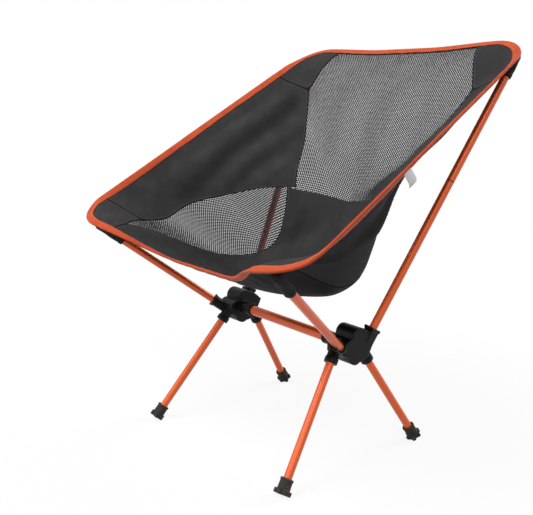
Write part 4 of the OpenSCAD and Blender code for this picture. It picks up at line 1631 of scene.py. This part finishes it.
@dataclass
class Hub:
    """Moulded hub that joins the crossbar, two legs and two poles."""

    lines: FrameLines
    finish: Material
    core_r: float = 14.5
    core_h: float = 59.0
    core_w: float = 39.0
    lean: float = 6.0
    barrel: float = 24.0
    socket_r: float = 9.5
    collar_r: float = 10.75
    collar_len: float = 9.0
    collar_edge: float = 0.8
    square: float = 18.0
    twist: float = 18.0
    lip: float = 2.25
    bore: float = 6.62
    bar_bore: float = 8.62
    ring_len: float = 6.0
    ring_bore: float = 8.55
    ring_r: float = 11.5
    ring_edge: float = 1.0
    voxel: float = 0.7
    melt: int = 3
    smooth: float = 42.0

    def bodywork(self) -> list[Piece]:
        """Add the overlapping shapes that melt into the moulding."""
        lines, x, half, r, lean = self.lines, self.lines.half_bar, self.core_h / 2, self.core_r, self.lean
        ends = ((lean, half - r), (0.0, r - half))
        parts = [Bench.rod(lines.level(*end), x, x + self.core_w, r) for end in ends]
        outlines = (
            [(lean - r, half - r), (lean + r, half - r), (r, r - half), (-r, r - half)],
            [(0, 13), (-r, 13), (-26, 7), (-26, -10), (-r, -16), (0, -16)],
            [(lean, half - 1), (lean + 8, half - 2), (30, 19), (42, 8), (26, -24), (10, 2 - half)],
        )
        for outline in outlines:
            corners = [(lines.bar_y + fore, lines.bar_z + lift) for fore, lift in outline]
            parts.append(Bench.plate(corners, x, x + self.core_w))
        parts.append(Bench.rod(lines.level(), x - self.barrel, x + 2, self.collar_r))
        for s in (lines.socket(Tube.LEG_FRONT), lines.socket(Tube.LEG_REAR)):
            parts.append(Bench.rod(s.line, s.floor - 14, s.mouth, self.socket_r))
        s = lines.socket(Tube.POLE_FRONT)
        parts.append(Bench.rod(s.line, s.floor - 12, s.mouth, self.socket_r + 0.25))
        parts.append(Bench.rod(s.line, s.mouth - 8, s.mouth, self.socket_r, self.socket_r + self.lip))
        s = lines.socket(Tube.POLE_REAR)
        for wide, long, edge in ((self.square, s.depth + 8, 1.6), (self.square + 2, 5, 1.0)):
            parts.append(Bench.block(s.line.pose(s.mouth - long / 2, self.twist), (wide, wide, long), edge))
        return parts

    def bores(self) -> list[Piece]:
        """Add the shapes that are cut out of the moulding."""
        x = self.lines.half_bar
        tools = [Bench.rod(self.lines.level(), x - self.barrel - 2, x, self.bar_bore)]
        for s in map(self.lines.socket, Tube):
            tools.append(Bench.rod(s.line, s.floor, s.mouth + 6, self.bore))
        s = self.lines.socket(Tube.POLE_FRONT)
        side_gap = s.line.pose(s.mouth - 1) @ Matrix.Translation(Vector((0, 13.2, 0)) * MM)
        tools.append(Bench.block(side_gap, (40, 20, 30), 1.5))
        return tools

    def moulding(self) -> Piece:
        """Make the left hub with its leg collars."""
        hub = Bench.fuse(self.bodywork(), self.voxel, self.melt)
        Bench.cut(hub, self.bores())
        collars = []
        for s in (self.lines.socket(Tube.LEG_FRONT), self.lines.socket(Tube.LEG_REAR)):
            start = s.mouth - self.collar_len
            collars.append(Bench.ring(s.line, start, s.mouth, self.bore, self.collar_r, self.collar_edge))
        Bench.pick(hub, *collars)
        bpy.ops.object.join()
        return hub

    def bar_ring(self) -> Piece:
        """Make the left ring on the crossbar."""
        bar, x = self.lines.level(), self.lines.half_bar - self.barrel
        return Bench.ring(bar, x - self.ring_len, x, self.ring_bore, self.ring_r, self.ring_edge)

    def build(self) -> None:
        """Make both hubs and their crossbar rings."""
        plan = ((self.moulding, "moulded_hub", "hub"), (self.bar_ring, "bar_ring", "crossbar_collar"))
        for make, name, node in plan:
            for side, obj in Bench.pair(make(), name, self.finish, self.smooth).items():
                keep(obj, "hub_black", [f"{node}_{side.word}"], "frame")


@dataclass
class Feet:
    """Rubber feet with lobed treads."""

    lines: FrameLines
    finish: Material
    sleeve_r: float = 10.0
    length: float = 24.0
    rim_h: float = 3.0
    bore: float = 6.56
    sole: float = 8.0
    tread_r: float = 13.5
    tread_h: float = 7.0
    lobes: int = 6
    lobe_r: float = 3.4
    notch: float = 3.4
    end: float = 5.0
    floor_z: float = 0.05
    voxel: float = 0.55
    melt: int = 3
    smooth: float = 45.0

    def moulding(self, line: Line) -> Piece:
        """Make a foot on a left leg.

        Args:
            line: The leg's axis.

        Returns:
            The foot.
        """
        last = line.length - self.end
        first, tread, core = last - self.length, last - self.tread_h, self.tread_r - self.notch
        parts = [
            Bench.rod(line, first, last, self.sleeve_r - 0.5, self.sleeve_r),
            Bench.rod(line, first, first + self.rim_h, self.sleeve_r + 0.3),
            Bench.rod(line, tread - 5, tread + 1, self.sleeve_r - 0.2, core),
            Bench.rod(line, tread, last, core),
        ]
        for k in range(self.lobes):
            turn = line.pose(0, 360 / self.lobes * k).to_3x3()
            lobe = line.moved(np.array(turn @ Vector((self.tread_r - self.lobe_r, 0, 0))))
            parts.append(Bench.rod(lobe, tread, last, self.lobe_r, sides=24))
        foot = Bench.fuse(parts, self.voxel, self.melt)
        Bench.cut(foot, [Bench.rod(line, first - 2, last - self.sole, self.bore)])
        with Bench.edit(foot):
            level = (0, 0, self.floor_z * MM)
            bpy.ops.mesh.bisect(plane_co=level, plane_no=(0, 0, -1), use_fill=True, clear_outer=True)
        return foot

    def build(self) -> None:
        """Make the four feet."""
        for tube in (Tube.LEG_FRONT, Tube.LEG_REAR):
            foot = self.moulding(self.lines.socket(tube).line)
            for side, obj in Bench.pair(foot, f"rubber_foot_{tube.end}", self.finish, self.smooth).items():
                keep(obj, "rubber_dark", [f"foot_{tube.end}_{side.word}"], f"{tube.end}_{side.word}_leg")


@dataclass
class Cords:
    """Elastic cords inside the tubes, which show when a tube is pulled from its socket."""

    lines: FrameLines
    finish: Material
    radius: float = 1.3
    sides: int = 12

    floor_tail: float = 5.0
    leg_tail: float = 24.0
    pole_tail: float = 20.0
    overlap: float = 12.0
    stretch: float = 40.0

    def sweep(self, name: str, line: Line, span: Pair, side: Side) -> Piece:
        """Sweep a cord along part of an axis.

        Args:
            name: Name of the piece.
            line: The axis on the left half.
            span: Places of its two ends on the axis.
            side: Which half.

        Returns:
            The object.
        """
        stations = np.linspace(*span, max(3, int((span[1] - span[0]) / 4)))
        angle = np.linspace(0, 2 * math.pi, self.sides + 1)[:-1]
        frame = np.array(line.pose(0).to_3x3())
        ring = self.radius * (np.cos(angle)[:, None] * frame[:, 0] + np.sin(angle)[:, None] * frame[:, 1])
        rings = np.stack([line.at(s) + ring for s in stations])
        rings[..., 0] *= side.value
        chart = paired(angle[None] * self.radius, stations[:, None])
        return Shell.swept(rings, {"cord": chart}, side).mesh(name, self.finish)

    def build(self) -> None:
        """Make the ten cords."""
        lines, half = self.lines, self.lines.ferrule / 2
        rear, low, high = lines.socket(Tube.POLE_REAR), lines.joint - half, lines.joint + half
        for side in Side:
            w, flip = side.word, np.array([side.value, 1, 1])
            plan = []
            for tube, node, body, tail in (
                (Tube.LEG_FRONT, "cord_leg_front", f"front_{w}_leg", self.leg_tail),
                (Tube.LEG_REAR, "cord_leg_rear", f"rear_{w}_leg", self.leg_tail),
                (Tube.POLE_FRONT, "cord_front", f"front_{w}_pole", self.pole_tail),
            ):
                s = lines.socket(tube)
                span = (s.floor - self.floor_tail, s.line.length - tail)
                plan.append((node, s.line, span, (s.floor, s.mouth), ("frame", body)))
            span = (rear.floor - self.floor_tail, low + 1)
            bodies = ("frame", f"rear_{w}_lower", f"rear_{w}_upper")
            plan.append(("cord_lower", rear.line, span, (rear.floor, rear.mouth), bodies[:2]))
            span = (high - self.overlap, rear.line.length - self.pole_tail)
            plan.append(("cord_upper", rear.line, span, (high, high + self.stretch), bodies[1:]))
            for node, line, span, gap, bodies in plan:
                obj = self.sweep(f"elastic_{node}_{w}", line, span, side)
                pull = Pull(*bodies, *(line.at(place) * flip for place in gap))
                keep(obj, "cord_black", [f"{node}_{w}"], pull)


@dataclass
class Studio:
    """Pale floor, soft light and the photograph's camera."""

    eye: Place = (945.4, -831.6, 583.6)
    azimuth: float = 50.85
    elevation: float = 12.62
    lens: float = 51.81
    sensor: float = 36.0
    sky: float = 0.2
    aim: Place = (0, 0, 0.35)
    lamps: tuple[tuple[str, Place, float, float], ...] = (
        ("key", (-0.6, -1.7, 2.8), 1.8, 64.0),
        ("front", (-0.5, -2.4, 0.9), 1.2, 9.0),
        ("fill", (1.9, -1.2, 2.2), 1.2, 20.0),
        ("back", (0.4, 2.2, 1.7), 1.4, 40.0),
    )
    floor_r: float = 9.0
    floor_z: float = -0.0004
    floor_lit: Colour = (0.29, 0.29, 0.29)
    floor_seen: Colour = (0.95, 0.95, 0.95)
    floor_white: float = 0.88
    floor_fade: Pair = (0.35, 0.85)

    @staticmethod
    def put(data: bpy.types.ID, place: Vector, look: Vector) -> Piece:
        """Set up a camera or a lamp.

        Args:
            data: The camera or the lamp.
            place: Its place.
            look: The direction in which it looks.

        Returns:
            The object.
        """
        item = bpy.data.objects.new(data.name, data)
        bpy.context.collection.objects.link(item)
        item.location = place
        item.rotation_mode = "QUATERNION"
        item.rotation_quaternion = look.to_track_quat("-Z", "Y")
        return item

    def camera(self) -> None:
        """Set the camera at the photograph's viewpoint."""
        data = bpy.data.cameras.new("camera")
        data.lens, data.sensor_width = self.lens, self.sensor
        a, e = math.radians(self.azimuth), math.radians(self.elevation)
        back = Vector((math.sin(a) * math.cos(e), -math.cos(a) * math.cos(e), math.sin(e)))
        bpy.context.scene.camera = self.put(data, Vector(self.eye) * MM, -back)

    def light(self) -> None:
        """Light the chair from a pale world, white in the picture, and from soft lamps."""
        world = bpy.data.worlds.new("studio")
        bpy.context.scene.world = world
        world.use_nodes = True
        graph = Graph(world.node_tree)
        strength = self.sky + (1 - self.sky) * graph.seen()
        sky = graph.node("ShaderNodeBackground", inputs={"Color": WHITE, "Strength": strength})
        graph.node("ShaderNodeOutputWorld", inputs={"Surface": graph.wire(sky)})
        for name, place, size, power in self.lamps:
            data = bpy.data.lights.new(name, "AREA")
            data.size, data.energy = size, power
            self.put(data, Vector(place), Vector(self.aim) - Vector(place))

    def ground(self) -> None:
        """Lay the floor, white in the picture but for the chair's soft shadow."""
        Bench.clear()
        place = (0, 0, self.floor_z)
        bpy.ops.mesh.primitive_circle_add(vertices=96, radius=self.floor_r, fill_type="NGON", location=place)
        disc = Bench.settle()
        r = Recipe("floor_white", Roughness=0.9)
        seen = r.seen()
        r.join(r.shader, {"Base Color": r.mix(seen, self.floor_lit, self.floor_seen)})
        far = r.wire(r.node("ShaderNodeVectorMath", {"operation": "LENGTH"}, {0: r.place()}), "Value")
        white = self.floor_white + (1 - self.floor_white) * far.step(*self.floor_fade)
        glow = r.node("ShaderNodeEmission", inputs={"Color": WHITE, "Strength": 1.0})
        both = r.node("ShaderNodeMixShader", inputs={0: seen * white, 1: r.wire(r.shader), 2: r.wire(glow)})
        r.join(r.output, {"Surface": r.wire(both)})
        Bench.dress(disc, "floor", r.material)

    def build(self) -> None:
        """Set up the whole studio."""
        self.camera()
        self.light()
        self.ground()
        bpy.context.scene.view_settings.view_transform = "Standard"


def dress_nodes(nodes: dict[str, Piece], finishes: dict[str, Material]) -> None:
    """Give the frame's own tubes, tips and ferrules their finish.

    Args:
        nodes: The frame's objects by name.
        finishes: Materials by the first word of a node's name.
    """
    for name, obj in nodes.items():
        material = finishes.get(name.split("_")[0])
        if material and not obj.hide_render:
            obj.data.materials.clear()
            obj.data.materials.append(material)
            LOG.info("%s: dressed in %s", name, material.name)


def main() -> None:
    """Build the chair round its frame and report each piece."""
    logging.basicConfig(level=logging.INFO, format="%(message)s")
    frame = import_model()
    Studio().build()
    lines = FrameLines()
    orange, black, cloth = Anodised().make(), Moulded().make(), Woven().make()
    Cords(lines, Elastic().make()).build()
    Sling(SlingForm(), lines, cloth, Net().make(), Webbing().make(), Satin().make()).build()
    Hub(lines, black).build()
    Feet(lines, Rubber().make()).build()
    rear = lines.socket(Tube.POLE_REAR).line
    meet = (*rear.way, float(rear.at(lines.joint) @ rear.way) * MM)
    jointed = Anodised(name="anodised_jointed", joint=meet).make()
    tubes = {"crossbar": orange, "leg": orange, "pole": jointed, "tip": black, "ferrule": black}
    dress_nodes(frame["nodes"], tubes)
    Bench.clear()


if __name__ == "__main__":
    main()
